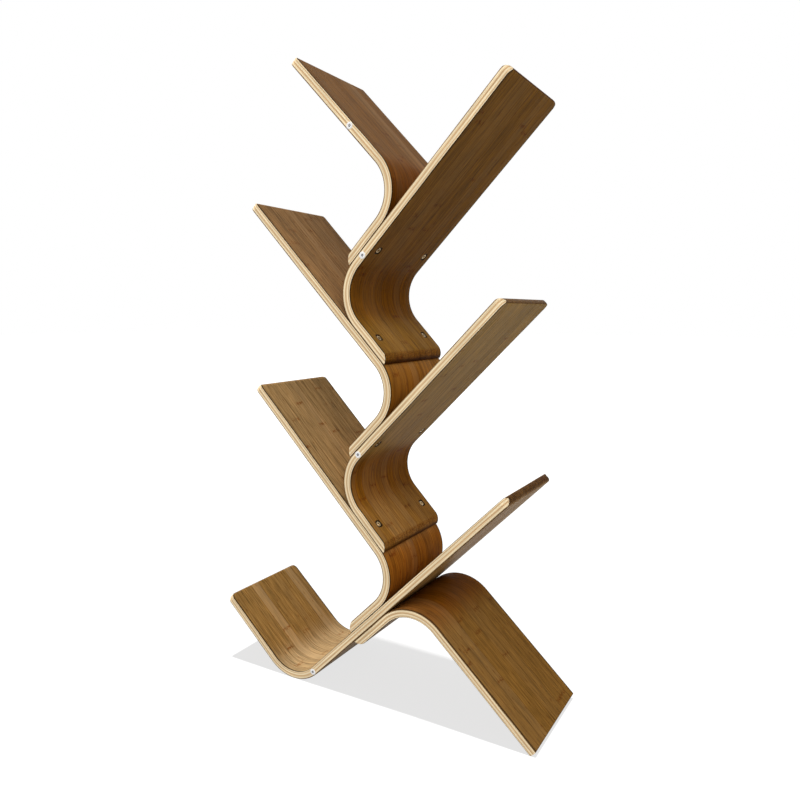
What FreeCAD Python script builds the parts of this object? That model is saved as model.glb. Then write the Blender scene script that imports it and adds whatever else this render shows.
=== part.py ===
import FreeCAD, Part
import math
import os

# Sizes of the bent boards, in millimetres and degrees.
# Every board has the same depth, thickness and bend, and all front edges lie in one plane.
BOARD_DEPTH = 205.0
BOARD_THICKNESS = 15.0
BEND_INNER_RADIUS = 65.0
BEND_ANGLE = 91.6
RIGHT_ARM_SLOPE = 45.3

# Flat stretch that two bolted boards share, from one board's bend to the other's.
JOINT_FLAT = 75.6

# Flat lengths past the bend, measured on the outer face of each board.
TOP_LEFT_ARM_FLAT = 247.2
LEFT_ARM_FLAT = 385.7
RIGHT_ARM_FLAT = 379.7
SHORT_LEG_FLAT = 87.2
BASE_LEFT_ARM_FLAT = 157.2
BASE_RIGHT_ARM_FLAT = 549.2
FOOT_SHORT_LEG_FLAT = 89.2

# Where the two lowest joints sit on the base board's right arm.
# The foot board's corner lies a little nearer the floor than the lower left board's corner.
LOWER_JOINT_FLAT = 218.7
FOOT_SETBACK = 4.3

# Rounding of the board ends and edges.
TIP_CORNER_RADIUS = 12.0
TIP_INNER_ROUND = 4.0
TIP_FLAT = 2.0
SHORT_LEG_END_RADIUS = 20.0
SHORT_LEG_ARRIS = 1.5
FOOT_ROUND = 2.5
EDGE_ROUND = 1.0

# Socket-head bolts and the threaded inserts that they screw into.
BOLT_DIAMETER = 6.0
BOLT_HEAD_DIAMETER = 10.0
BOLT_HEAD_HEIGHT = 6.0
BOLT_HEAD_ROUND = 0.6
BOLT_HEAD_RECESS = 0.6
BOLT_END_CHAMFER = 0.6
HEX_SOCKET_WIDTH = 5.0
HEX_SOCKET_DEPTH = 3.0
COUNTERBORE_CLEARANCE = 1.0
BOLT_HOLE_CLEARANCE = 0.3
THREAD_CLEARANCE = 0.1
BOLT_END_CLEARANCE = 1.0
INSERT_WALL = 1.7
INSERT_FLOOR = 2.5
INSERT_FIT_CLEARANCE = 0.1
BOLT_FROM_BEND = 39.0
BOLT_FROM_EDGE = 22.5

# Round stickers on the front edges, each placed along its arm from where the bend ends.
STICKER_DIAMETER = 12.0
STICKER_THICKNESS = 0.3
TOP_LEFT_STICKER_REACH = 77.7
TOP_RIGHT_STICKER_REACH = 18.2
MIDDLE_RIGHT_STICKER_REACH = 4.2
BASE_STICKER_REACH = -4.8

# How far the cutting shapes run past the faces that they cut.
CUT_MARGIN = 2.0

# Values that follow from the sizes above.
BEND_OUTER_RADIUS = BEND_INNER_RADIUS + BOARD_THICKNESS
LEFT_ARM_SLOPE = BEND_ANGLE - RIGHT_ARM_SLOPE
FOOT_SLOPE = 180.0 - BEND_ANGLE - RIGHT_ARM_SLOPE
CORNER_TO_FLAT = BEND_OUTER_RADIUS / math.tan(math.radians(BEND_ANGLE / 2.0))
CORNER_TO_CENTRE = BEND_OUTER_RADIUS / math.sin(math.radians(BEND_ANGLE / 2.0))
CORNER_PITCH = JOINT_FLAT + 2.0 * CORNER_TO_FLAT
LOWER_CORNER_REACH = LOWER_JOINT_FLAT + 2.0 * CORNER_TO_FLAT
FOOT_CORNER_REACH = LOWER_CORNER_REACH - FOOT_SETBACK
BOLT_REACH = CORNER_TO_FLAT + BOLT_FROM_BEND
TIP_OUTER_ROUND = BOARD_THICKNESS - TIP_FLAT - TIP_INNER_ROUND
COUNTERBORE_RADIUS = BOLT_HEAD_DIAMETER / 2.0 + COUNTERBORE_CLEARANCE
COUNTERBORE_DEPTH = BOLT_HEAD_RECESS + BOLT_HEAD_HEIGHT
BOLT_HOLE_RADIUS = BOLT_DIAMETER / 2.0 + BOLT_HOLE_CLEARANCE
THREAD_RADIUS = BOLT_DIAMETER / 2.0 + THREAD_CLEARANCE
INSERT_RADIUS = THREAD_RADIUS + INSERT_WALL
INSERT_HOLE_RADIUS = INSERT_RADIUS + INSERT_FIT_CLEARANCE
HALF_DEPTH = BOARD_DEPTH / 2.0
DEPTH_AXIS = FreeCAD.Vector(0.0, 1.0, 0.0)


def direction(degrees):
    """Unit vector in the front view, at an angle above the +X direction."""
    angle = math.radians(degrees)
    return FreeCAD.Vector(math.cos(angle), 0.0, math.sin(angle))


def line(start, end):
    """Straight edge between two points."""
    return Part.LineSegment(start, end).toShape()


def arc(start, middle, end):
    """Circular edge through three points."""
    return Part.Arc(start, middle, end).toShape()


def cylinder(radius, start, end):
    """Round bar from one point to another."""
    along = end - start
    return Part.makeCylinder(radius, along.Length, start, along)


def corner_inset(radius):
    """How far the middle of a quarter round lies from each of the two lines that it joins."""
    return radius * (1.0 - math.sqrt(0.5))


class Leg:
    """One flat leg of a board, from the corner where the two outer faces would meet."""

    def __init__(self, corner, along, inward, flat):
        self.corner = corner
        self.along = along
        self.inward = inward
        self.length = CORNER_TO_FLAT + flat

    def point(self, reach, depth=0.0, height=0.0):
        """Point at a reach from the corner, a depth behind mid-board, a height above the outer face."""
        return self.corner + self.along * reach + DEPTH_AXIS * depth + self.inward * height


class Board:
    """A bent board with two legs, called its arm and its leg."""

    def __init__(self, corner, arm_angle, arm_flat, leg_angle, leg_flat):
        arm_along = direction(arm_angle)
        leg_along = direction(leg_angle)
        self.middle = (arm_along + leg_along).normalize()
        self.centre = corner + self.middle * CORNER_TO_CENTRE
        self.arm = Leg(corner, arm_along, self.inward_from(arm_along), arm_flat)
        self.leg = Leg(corner, leg_along, self.inward_from(leg_along), leg_flat)

    def inward_from(self, along):
        """Direction square to a leg that points to the inside of the bend."""
        return (self.middle - along * self.middle.dot(along)).normalize()

    def bend(self, radius, height):
        """Arc of the outer or the inner face between the two flats."""
        start = self.arm.point(CORNER_TO_FLAT, height=height)
        end = self.leg.point(CORNER_TO_FLAT, height=height)
        return arc(start, self.centre - self.middle * radius, end)

    def solid(self, arm_end, leg_end):
        """The board's outline carried through its depth, with its long edges rounded."""
        edges = [self.bend(BEND_OUTER_RADIUS, 0.0), self.bend(BEND_INNER_RADIUS, BOARD_THICKNESS)]
        for leg, end in ((self.arm, arm_end), (self.leg, leg_end)):
            end_edges = end(leg)
            first = end_edges[0].Vertexes[0].Point
            last = end_edges[-1].Vertexes[-1].Point
            edges.append(line(leg.point(CORNER_TO_FLAT), first))
            edges += end_edges
            edges.append(line(last, leg.point(CORNER_TO_FLAT, height=BOARD_THICKNESS)))
        outline = Part.Wire(Part.sortEdges(edges)[0])
        outline.translate(DEPTH_AXIS * -HALF_DEPTH)
        block = Part.Face(outline).extrude(DEPTH_AXIS * BOARD_DEPTH)
        long_edges = [edge for edge in block.Edges if abs(edge.CenterOfMass.y) > HALF_DEPTH * 0.99]
        return block.makeFillet(EDGE_ROUND, long_edges)


def round_about(leg, reach, height, radius, start, finish):
    """Arc about a point in a leg's side view, between two angles measured up from along the leg."""
    points = []
    for degrees in (start, (start + finish) / 2.0, finish):
        angle = math.radians(degrees)
        points.append(leg.point(reach + radius * math.cos(angle), height=height + radius * math.sin(angle)))
    return arc(*points)


def square_end(leg, outer_round, inner_round):
    """Edges of a square-cut end with rounded arrises, from the outer face to the inner face."""
    outer_arc = round_about(leg, leg.length - outer_round, outer_round, outer_round, -90.0, 0.0)
    inner_height = BOARD_THICKNESS - inner_round
    inner_arc = round_about(leg, leg.length - inner_round, inner_height, inner_round, 0.0, 90.0)
    flat = line(outer_arc.Vertexes[-1].Point, inner_arc.Vertexes[0].Point)
    return [outer_arc, flat, inner_arc]


def tip_end(leg):
    """Rounded tip of a long arm."""
    return square_end(leg, TIP_OUTER_ROUND, TIP_INNER_ROUND)


def foot_end(leg):
    """End of the foot, which stands on its inner arris."""
    return square_end(leg, FOOT_ROUND, FOOT_ROUND)


def short_end(leg):
    """End of a short leg: a small round off the outer face, then one large round to the inner face."""
    centre_height = BOARD_THICKNESS - SHORT_LEG_END_RADIUS
    centre_reach = leg.length - math.sqrt(SHORT_LEG_END_RADIUS ** 2 - centre_height ** 2)
    between_centres = SHORT_LEG_END_RADIUS - SHORT_LEG_ARRIS
    rise = SHORT_LEG_ARRIS - centre_height
    run = math.sqrt(between_centres ** 2 - rise ** 2)
    meeting_angle = math.degrees(math.atan2(rise, run))
    arris = round_about(leg, centre_reach + run, SHORT_LEG_ARRIS, SHORT_LEG_ARRIS, -90.0, meeting_angle)
    end = round_about(leg, centre_reach, centre_height, SHORT_LEG_END_RADIUS, meeting_angle, 90.0)
    return [arris, end]


def tip_corner_cutter(leg, side):
    """Block that rounds one corner of an arm's tip, as seen square to the arm's face."""
    edge = side * HALF_DEPTH
    inside = edge - side * TIP_CORNER_RADIUS
    outside = edge + side * CUT_MARGIN
    inset = corner_inset(TIP_CORNER_RADIUS)
    start = leg.point(leg.length - TIP_CORNER_RADIUS, edge, -CUT_MARGIN)
    middle = leg.point(leg.length - inset, edge - side * inset, -CUT_MARGIN)
    finish = leg.point(leg.length, inside, -CUT_MARGIN)
    beyond = leg.point(leg.length + CUT_MARGIN, inside, -CUT_MARGIN)
    far_corner = leg.point(leg.length + CUT_MARGIN, outside, -CUT_MARGIN)
    beside = leg.point(leg.length - TIP_CORNER_RADIUS, outside, -CUT_MARGIN)
    edges = [
        arc(start, middle, finish),
        line(finish, beyond),
        line(beyond, far_corner),
        line(far_corner, beside),
        line(beside, start),
    ]
    outline = Part.Face(Part.Wire(edges))
    return outline.extrude(leg.inward * (BOARD_THICKNESS + 2.0 * CUT_MARGIN))


class Joint:
    """A pair of bolts through one or two clamped boards into inserts in the board behind them.

    A seat is the point where a bolt's axis meets the face that its head is sunk into. The axis
    points from there through the clamped boards, and stations are distances along it.
    """

    def __init__(self, face_point, axis, clamped_boards):
        self.axis = axis
        bolt_depth = HALF_DEPTH - BOLT_FROM_EDGE
        self.seats = [face_point + DEPTH_AXIS * (side * bolt_depth) for side in (-1.0, 1.0)]
        self.insert_mouth = clamped_boards * BOARD_THICKNESS
        self.insert_floor = self.insert_mouth + BOARD_THICKNESS - INSERT_FLOOR
        self.bolt_end = self.insert_floor - BOLT_END_CLEARANCE

    def bar(self, seat, radius, start, end):
        """Round bar on a bolt's axis, between two stations."""
        return cylinder(radius, seat + self.axis * start, seat + self.axis * end)

    def holes(self):
        """Counterbores, clearance holes and insert holes to cut out of the boards."""
        tools = []
        for seat in self.seats:
            tools.append(self.bar(seat, COUNTERBORE_RADIUS, -CUT_MARGIN, COUNTERBORE_DEPTH))
            tools.append(self.bar(seat, BOLT_HOLE_RADIUS, 0.0, self.insert_mouth))
            tools.append(self.bar(seat, INSERT_HOLE_RADIUS, self.insert_mouth, self.insert_floor))
        return tools

    def bolt(self, seat):
        """Bolt with a rounded head, a hexagon socket and a chamfered end."""
        head = self.bar(seat, BOLT_HEAD_DIAMETER / 2.0, BOLT_HEAD_RECESS, COUNTERBORE_DEPTH)
        top = seat + self.axis * BOLT_HEAD_RECESS
        rim = min(head.Edges, key=lambda edge: edge.CenterOfMass.distanceToPoint(top))
        head = head.makeFillet(BOLT_HEAD_ROUND, [rim])
        shank = self.bar(seat, BOLT_DIAMETER / 2.0, COUNTERBORE_DEPTH, self.bolt_end)
        bottom = seat + self.axis * self.bolt_end
        lip = min(shank.Edges, key=lambda edge: edge.CenterOfMass.distanceToPoint(bottom))
        shank = shank.makeChamfer(BOLT_END_CHAMFER, [lip])
        return head.fuse(shank).removeSplitter().cut(self.hex_socket(top))

    def hex_socket(self, top):
        """Hexagon prism that is cut into a bolt's head."""
        corner_radius = HEX_SOCKET_WIDTH / math.sqrt(3.0)
        across = self.axis.cross(DEPTH_AXIS)
        corners = []
        for step in range(7):
            angle = math.radians(60.0 * step)
            outward = across * math.cos(angle) + DEPTH_AXIS * math.sin(angle)
            corners.append(top + outward * corner_radius)
        return Part.Face(Part.makePolygon(corners)).extrude(self.axis * HEX_SOCKET_DEPTH)

    def insert(self, seat):
        """Threaded sleeve, drawn with a plain bore, that stands on the floor of its hole."""
        sleeve = self.bar(seat, INSERT_RADIUS, self.insert_mouth, self.insert_floor)
        return sleeve.cut(self.bar(seat, THREAD_RADIUS, self.insert_mouth, self.insert_floor))

    def bolts(self):
        """The front and the rear bolt."""
        return Part.makeCompound([self.bolt(seat) for seat in self.seats])

    def inserts(self):
        """The front and the rear insert."""
        return Part.makeCompound([self.insert(seat) for seat in self.seats])


def left_board(corner, arm_flat):
    """Board whose arm climbs to the left and whose short leg runs down to the left."""
    return Board(corner, 180.0 - LEFT_ARM_SLOPE, arm_flat, 180.0 + RIGHT_ARM_SLOPE, SHORT_LEG_FLAT)


def right_board(corner):
    """Board whose arm climbs to the right and whose short leg runs down to the right."""
    return Board(corner, RIGHT_ARM_SLOPE, RIGHT_ARM_FLAT, -LEFT_ARM_SLOPE, SHORT_LEG_FLAT)


def floor_board():
    """Board whose bend lies on the floor, with one arm that climbs each way."""
    right = direction(RIGHT_ARM_SLOPE)
    left = direction(180.0 - FOOT_SLOPE)
    upward = (right + left).normalize()
    corner = FreeCAD.Vector(0.0, 0.0, BEND_OUTER_RADIUS) - upward * CORNER_TO_CENTRE
    return Board(corner, RIGHT_ARM_SLOPE, BASE_RIGHT_ARM_FLAT, 180.0 - FOOT_SLOPE, BASE_LEFT_ARM_FLAT)


def standing_board(corner):
    """Board whose arm runs down to the right until its inner arris stands on the floor."""
    board = Board(corner, -FOOT_SLOPE, 0.0, 180.0 + RIGHT_ARM_SLOPE, FOOT_SHORT_LEG_FLAT)
    arris_height = board.arm.point(0.0, height=BOARD_THICKNESS - FOOT_ROUND).z - FOOT_ROUND
    board.arm.length = arris_height / math.sin(math.radians(FOOT_SLOPE)) + FOOT_ROUND
    return board


def joint_through_arm(board):
    """Joint from the inner face of a right board's arm into the short leg that lies on that arm."""
    face_point = board.arm.point(CORNER_PITCH - BOLT_REACH, height=BOARD_THICKNESS)
    return Joint(face_point, board.arm.inward * -1.0, 1)


def joint_through_leg(board):
    """Joint from the inner face of a right board's short leg into the arm that it lies on."""
    face_point = board.leg.point(BOLT_REACH, height=BOARD_THICKNESS)
    return Joint(face_point, board.leg.inward * -1.0, 1)


def joint_through_foot(board):
    """Joint from under the foot board, through the base board, into the lower left board."""
    face_point = board.leg.point(BOLT_REACH - FOOT_SETBACK, height=BOARD_THICKNESS)
    return Joint(face_point, board.leg.inward * -1.0, 2)


def sticker(leg, reach_past_bend):
    """Thin round sticker on the front edge of a board, centred in its thickness."""
    centre = leg.point(CORNER_TO_FLAT + reach_past_bend, -HALF_DEPTH, BOARD_THICKNESS / 2.0)
    return cylinder(STICKER_DIAMETER / 2.0, centre, centre - DEPTH_AXIS * STICKER_THICKNESS)


def finished(solid, tips, joints):
    """Board with the corners of its tips rounded and the holes of its joints cut."""
    tools = [tip_corner_cutter(leg, side) for leg in tips for side in (-1.0, 1.0)]
    for joint in joints:
        tools += joint.holes()
    return solid.cut(tools)


# The chain of boards from the floor up: each corner lies against the arm below it.
base = floor_board()
foot = standing_board(base.arm.point(FOOT_CORNER_REACH))
lower_left = left_board(base.arm.point(LOWER_CORNER_REACH, height=BOARD_THICKNESS), LEFT_ARM_FLAT)
middle_right = right_board(lower_left.arm.point(CORNER_PITCH))
middle_left = left_board(middle_right.arm.point(CORNER_PITCH), LEFT_ARM_FLAT)
top_right = right_board(middle_left.arm.point(CORNER_PITCH))
top_left = left_board(top_right.arm.point(CORNER_PITCH), TOP_LEFT_ARM_FLAT)

top_joint = joint_through_arm(top_right)
upper_joint = joint_through_leg(top_right)
middle_joint = joint_through_arm(middle_right)
lower_joint = joint_through_leg(middle_right)
base_joint = joint_through_foot(foot)

parts = {
    "top_left_board": finished(top_left.solid(tip_end, short_end), [top_left.arm], [top_joint]),
    "base_board": finished(base.solid(tip_end, tip_end), [base.arm, base.leg], [base_joint]),
    "foot_board": finished(foot.solid(foot_end, short_end), [], [base_joint]),
    "top_left_sticker": sticker(top_left.arm, TOP_LEFT_STICKER_REACH),
    "top_right_sticker": sticker(top_right.arm, TOP_RIGHT_STICKER_REACH),
    "middle_right_sticker": sticker(middle_right.arm, MIDDLE_RIGHT_STICKER_REACH),
    "base_sticker": sticker(base.arm, BASE_STICKER_REACH),
}
for name, board, joints in (
    ("top_right_board", top_right, [top_joint, upper_joint]),
    ("middle_left_board", middle_left, [upper_joint, middle_joint]),
    ("middle_right_board", middle_right, [middle_joint, lower_joint]),
    ("lower_left_board", lower_left, [lower_joint, base_joint]),
):
    parts[name] = finished(board.solid(tip_end, short_end), [board.arm], joints)
for name, joint in (
    ("top_joint", top_joint),
    ("upper_joint", upper_joint),
    ("middle_joint", middle_joint),
    ("lower_joint", lower_joint),
    ("base_joint", base_joint),
):
    parts[name + "_bolts"] = joint.bolts()
    parts[name + "_inserts"] = joint.inserts()

# The origin is on the floor, midway between the outermost tips on the left and right, at mid-depth.
boxes = [shape.optimalBoundingBox(False, False) for shape in parts.values()]
middle_x = (min(box.XMin for box in boxes) + max(box.XMax for box in boxes)) / 2.0
to_origin = FreeCAD.Vector(-middle_x, 0.0, 0.0)

os.makedirs("parts", exist_ok=True)
for name, shape in parts.items():
    shape.translate(to_origin)
    shape.exportStep("parts/" + name + ".step")
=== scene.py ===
"""The looks of a tree bookshelf: bent bamboo boards, their bolts and their stickers, in a plain studio.

Sizes are in millimetres and degrees, as in the solids, and become metres when a mesh is made.
Every board is first laid out flat: a point has a run along the board from the middle of its bend,
a depth behind the middle of the shelf, and a height above the outer face of the bend.
"""

import logging
import math
from dataclasses import dataclass, field
from enum import Enum

import bpy
import numpy as np
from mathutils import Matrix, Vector


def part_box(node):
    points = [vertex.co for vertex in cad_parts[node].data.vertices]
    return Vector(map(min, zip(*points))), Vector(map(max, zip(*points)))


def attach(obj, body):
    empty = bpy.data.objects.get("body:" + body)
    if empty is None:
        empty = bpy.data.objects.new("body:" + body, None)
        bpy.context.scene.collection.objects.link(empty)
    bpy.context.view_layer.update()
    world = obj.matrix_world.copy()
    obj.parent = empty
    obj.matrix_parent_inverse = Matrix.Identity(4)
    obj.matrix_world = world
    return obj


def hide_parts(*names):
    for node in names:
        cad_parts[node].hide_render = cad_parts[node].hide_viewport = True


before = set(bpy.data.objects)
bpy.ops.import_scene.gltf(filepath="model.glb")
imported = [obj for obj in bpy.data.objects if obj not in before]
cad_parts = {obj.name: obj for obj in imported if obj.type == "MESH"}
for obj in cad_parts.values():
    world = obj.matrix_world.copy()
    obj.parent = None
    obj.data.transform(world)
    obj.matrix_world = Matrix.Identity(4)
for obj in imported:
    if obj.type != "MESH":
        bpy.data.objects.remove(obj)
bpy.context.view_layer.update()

MM = 0.001
BODY = "root"
LOG = logging.getLogger("tree_shelf")

# Fineness of the meshes: steps in a round, in an end's main curve, in its lead-in or small arris, in
# a bend, on one side of a hole's square patch and in one turn of a thread, the length of a step on a
# flat, the angle past which an edge looks sharp, and the points round a bolt, a sticker or a hole.
ROUND_STEPS = 4
END_STEPS = 12
ARRIS_STEPS = 4
BEND_STEPS = 36
PATCH_STEPS = 12
THREAD_STEPS = 4
FLAT_STEP = 12.0
SHARP_ANGLE = 40.0
RING_POINTS = 4 * PATCH_STEPS

# Middle of a quarter round, as a share of its radius from either face.
MID_ROUND = 0.3

# Where a board thins out at its end, its edge rounds take up to this share of what is left.
THIN_SHARE = 0.45

# Each board is cut from its own numbered stretch of the bamboo pattern, and a stretch is this long.
SHEET_PITCH = 2000.0


class Face(Enum):
    """The two broad faces of a board, named by the side of the bend that they are on."""

    OUTER = "outer"
    INNER = "inner"

    @property
    def other(self) -> "Face":
        """The face on the other side of the board."""
        return Face.INNER if self is Face.OUTER else Face.OUTER


class Way(Enum):
    """Where a leg of a board lies along its run: the leg before the bend, the arm after it."""

    LEG = -1.0
    ARM = 1.0


class Lit(Enum):
    """What a lamp reaches, with the state that the floor has in the lamp's group."""

    ONLY_FLOOR = "INCLUDE"
    ALL_BUT_FLOOR = "EXCLUDE"


def linear(code: str) -> tuple[float, float, float, float]:
    """Turn an sRGB hex colour into the linear colour that shaders take.

    Formula: a part up to 0.04045 is divided by 12.92, and a larger one becomes
    ((part + 0.055) ÷ 1.055) to the power of 2.4.

    Args:
        code: the colour as "#RRGGBB"

    Returns:
        Linear red, green, blue and an alpha of 1.
    """
    parts = [int(code[start:start + 2], 16) / 255.0 for start in (1, 3, 5)]
    flat = [part / 12.92 if part <= 0.04045 else ((part + 0.055) / 1.055) ** 2.4 for part in parts]
    return (flat[0], flat[1], flat[2], 1.0)


def add(
    tree: bpy.types.NodeTree,
    kind: str,
    inputs: dict[int | str, object] | None = None,
    **settings: object,
) -> bpy.types.Node:
    """Add a node, set its options, and set or link its inputs.

    Args:
        tree: the node tree of a material or the world
        kind: the node type without its "ShaderNode" prefix
        inputs: input name or number, with a constant, a node or an output socket for it
        settings: options of the node by their names

    Returns:
        The new node.
    """
    node = tree.nodes.new("ShaderNode" + kind)
    for name, value in settings.items():
        setattr(node, name, value)
    for key, value in (inputs or {}).items():
        if isinstance(value, bpy.types.Node):
            value = value.outputs[0]
        if isinstance(value, bpy.types.NodeSocket):
            tree.links.new(value, node.inputs[key])
        else:
            node.inputs[key].default_value = value
    return node


def set_ramp(ramp: bpy.types.Node, stops: list[tuple[float, str]]) -> None:
    """Give a colour ramp its stops.

    Args:
        ramp: the colour ramp node
        stops: place from 0 to 1 and sRGB hex colour of each stop, in order
    """
    elements = ramp.color_ramp.elements
    while len(elements) < len(stops):
        elements.new(1.0)
    for element, (place, code) in zip(elements, stops):
        element.position = place
        element.color = linear(code)


def new_material(name: str) -> tuple[bpy.types.Material, bpy.types.NodeTree, bpy.types.Node]:
    """Make a material with one Principled shader on its output.

    Args:
        name: the material's name

    Returns:
        The material, its node tree and its Principled node.
    """
    material = bpy.data.materials.new(name)
    material.use_nodes = True
    tree = material.node_tree
    tree.nodes.clear()
    shader = add(tree, "BsdfPrincipled")
    add(tree, "OutputMaterial", {"Surface": shader})
    return material, tree, shader


def divided(stops: list[float], parts: list[int]) -> np.ndarray:
    """Places that cut each interval between rising stops into its number of equal parts."""
    pieces = [np.linspace(a, b, n, endpoint=False) for a, b, n in zip(stops, stops[1:], parts)]
    return np.concatenate(pieces + [np.array(stops[-1:])])


def direction(degrees: float) -> np.ndarray:
    """Unit vector in the front view, (x, z), at an angle above the +X direction."""
    return np.array([math.cos(math.radians(degrees)), math.sin(math.radians(degrees))])


def signed_volume(points: np.ndarray, quads: np.ndarray) -> float:
    """Volume inside the quads, negative where they face inwards.

    Formula: a sixth of the sum of a · (b × c) over the two triangles of each quad, about the
    points' middle, which comes out near enough for the sign when small caps are left out.

    Args:
        points: places of the vertices
        quads: four vertex numbers for each face

    Returns:
        The volume in the cube of the points' unit.
    """
    corners = points[quads] - points.mean(axis=0)
    first = np.einsum("ij,ij->i", corners[:, 0], np.cross(corners[:, 1], corners[:, 2]))
    second = np.einsum("ij,ij->i", corners[:, 0], np.cross(corners[:, 2], corners[:, 3]))
    return float((first + second).sum() / 6.0)


def make_object(
    name: str,
    points: np.ndarray,
    quads: np.ndarray,
    polygons: list[np.ndarray],
    attributes: dict[str, np.ndarray],
    material: bpy.types.Material,
) -> bpy.types.Object:
    """Make a mesh object that stands at the origin, with its place in its vertices.

    Faces that point inwards are turned round, and vertices that no face uses are left out.

    Args:
        name: the object's name
        points: vertex places in millimetres, one row each
        quads: four vertex numbers for each face
        polygons: vertex numbers of each face with more corners
        attributes: one value or vector for each vertex, by attribute name
        material: the material of every face

    Returns:
        The new object, linked to the scene.
    """
    if signed_volume(points, quads) < 0.0:
        quads = quads[:, ::-1]
        polygons = [polygon[::-1] for polygon in polygons]
    used = np.unique(np.concatenate([quads.ravel(), *polygons]))
    number = np.zeros(len(points), int)
    number[used] = np.arange(len(used))
    faces = number[quads].tolist() + [number[polygon].tolist() for polygon in polygons]
    mesh = bpy.data.meshes.new(name)
    mesh.from_pydata((points[used] * MM).tolist(), [], faces)
    for label, values in attributes.items():
        kept = np.ascontiguousarray(values[used], np.float32)
        if kept.ndim == 2:
            mesh.attributes.new(label, "FLOAT_VECTOR", "POINT").data.foreach_set("vector", kept.ravel())
        else:
            mesh.attributes.new(label, "FLOAT", "POINT").data.foreach_set("value", kept)
    mesh.shade_smooth()
    mesh.set_sharp_from_angle(angle=math.radians(SHARP_ANGLE))
    mesh.materials.append(material)
    mesh.update()
    shape = bpy.data.objects.new(name, mesh)
    bpy.context.scene.collection.objects.link(shape)
    return shape


@dataclass(frozen=True)
class Stock:
    """Sizes that all the boards share. The rim is the strip beside an edge that painted shade darkens."""

    depth: float = 205.0
    thickness: float = 15.0
    inner_radius: float = 65.0
    bend_angle: float = 91.6
    edge_round: float = 1.0
    rim_reach: float = 6.0

    @property
    def outer_radius(self) -> float:
        """Radius of the bend's outer face."""
        return self.inner_radius + self.thickness

    @property
    def middle_radius(self) -> float:
        """Radius of the bend half-way through the thickness."""
        return self.inner_radius + self.thickness / 2.0

    @property
    def half_turn(self) -> float:
        """Half of the angle that a board turns through, in radians."""
        return math.radians(180.0 - self.bend_angle) / 2.0

    @property
    def half_bend(self) -> float:
        """Run from the middle of the bend to where a flat begins."""
        return self.middle_radius * self.half_turn

    @property
    def half_depth(self) -> float:
        """Depth from the middle of the board to its front or back edge."""
        return self.depth / 2.0

    @property
    def corner_to_flat(self) -> float:
        """Distance from where the two outer faces would meet to where a flat begins."""
        return self.outer_radius / math.tan(math.radians(self.bend_angle / 2.0))

    @property
    def corner_to_centre(self) -> float:
        """Distance from where the two outer faces would meet to the centre of the bend."""
        return self.outer_radius / math.sin(math.radians(self.bend_angle / 2.0))


@dataclass(frozen=True)
class EndRows:
    """Rows along the outer and the inner face, from a flat to the very end of a board."""

    outer_back: np.ndarray
    outer_height: np.ndarray
    inner_back: np.ndarray
    inner_height: np.ndarray


@dataclass(frozen=True)
class SquareEnd:
    """Square-cut end with a rounded arris on each face and, on a tip, rounded corners."""

    outer_round: float
    inner_round: float
    corner_radius: float = 0.0
    lead_in: float = 2.0

    def rows(self, thickness: float) -> EndRows:
        """Lay out the two rows.

        Formula: after a straight lead-in, each row follows a quarter circle, with
        back = radius · (1 − sin turn) and rise from its face = radius · (1 − cos turn).

        Args:
            thickness: thickness of the board

        Returns:
            Distances back from the end and heights above the outer face.
        """
        start = max(self.corner_radius, self.outer_round, self.inner_round) + self.lead_in
        turn = np.linspace(0.0, math.pi / 2.0, END_STEPS + 1)
        backs, rises = [], []
        for radius in (self.outer_round, self.inner_round):
            straight = np.linspace(start, radius, ARRIS_STEPS + 1)[:-1]
            backs.append(np.concatenate([straight, radius * (1.0 - np.sin(turn))]))
            rises.append(np.concatenate([np.zeros(ARRIS_STEPS), radius * (1.0 - np.cos(turn))]))
        return EndRows(backs[0], rises[0], backs[1], thickness - rises[1])


@dataclass(frozen=True)
class SweptEnd:
    """End of a short leg: one large round off the inner face and a small one at the outer face."""

    radius: float = 20.0
    arris: float = 1.5
    corner_radius: float = 0.0

    def rows(self, thickness: float) -> EndRows:
        """Lay out the two rows, which stop either side of the small round's foremost point.

        Formula: the inner row follows a circle of the large radius whose centre lies below the
        inner face by that radius. The small circle touches it and the outer face.

        Args:
            thickness: thickness of the board

        Returns:
            Distances back from the end and heights above the outer face.
        """
        centre_height = thickness - self.radius
        centre_back = math.sqrt(self.radius ** 2 - centre_height ** 2)
        rise = self.arris - centre_height
        reach = math.sqrt((self.radius - self.arris) ** 2 - rise ** 2)
        meeting = math.atan2(rise, reach)
        turn = np.linspace(math.pi / 2.0, meeting, END_STEPS + 1)
        straight = np.linspace(centre_back, centre_back - reach, END_STEPS - ARRIS_STEPS + 1)
        small_turn = np.linspace(-math.pi / 2.0, -meeting, ARRIS_STEPS + 1)[1:]
        outer_back = np.concatenate([straight, centre_back - reach - self.arris * np.cos(small_turn)])
        small_height = self.arris * (1.0 + np.sin(small_turn))
        outer_height = np.concatenate([np.zeros(len(straight)), small_height])
        inner_back = centre_back - self.radius * np.cos(turn)
        inner_height = centre_height + self.radius * np.sin(turn)
        return EndRows(outer_back, outer_height, inner_back, inner_height)


@dataclass(frozen=True)
class Skin:
    """A laid-out board's outside, by station and place round the loop, and how much is cut edge."""

    run: np.ndarray
    depth: np.ndarray
    height: np.ndarray
    cut: np.ndarray


@dataclass(frozen=True)
class Bore:
    """One round hole through or into a board, as rings of radius and depth from its mouth."""

    way: Way
    past_bend: float
    depth: float
    mouth: Face
    rings: tuple[tuple[float, float], ...]
    through: bool


@dataclass(frozen=True)
class Batch:
    """The bamboo that one board is made of: the number of its stretch of the pattern and its browns.

    The browns are those of its leg, its bend and its arm on its painted side, and are partly the
    board's own tone and partly painted light: a darker, redder bend is painted shade, the base
    board's paler bend is a painted highlight, and each board's tone also stands in for how much
    light falls on it. The other face has the arm's brown all along.
    A turned sheet has its front face on the inside of the bend.
    """

    sheet: int
    leg_tone_and_painted_light: str
    bend_painted_light: str
    arm_tone_and_painted_light: str
    painted_side: Face
    turned: bool = False
    blend_reach: float = 28.0


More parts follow.
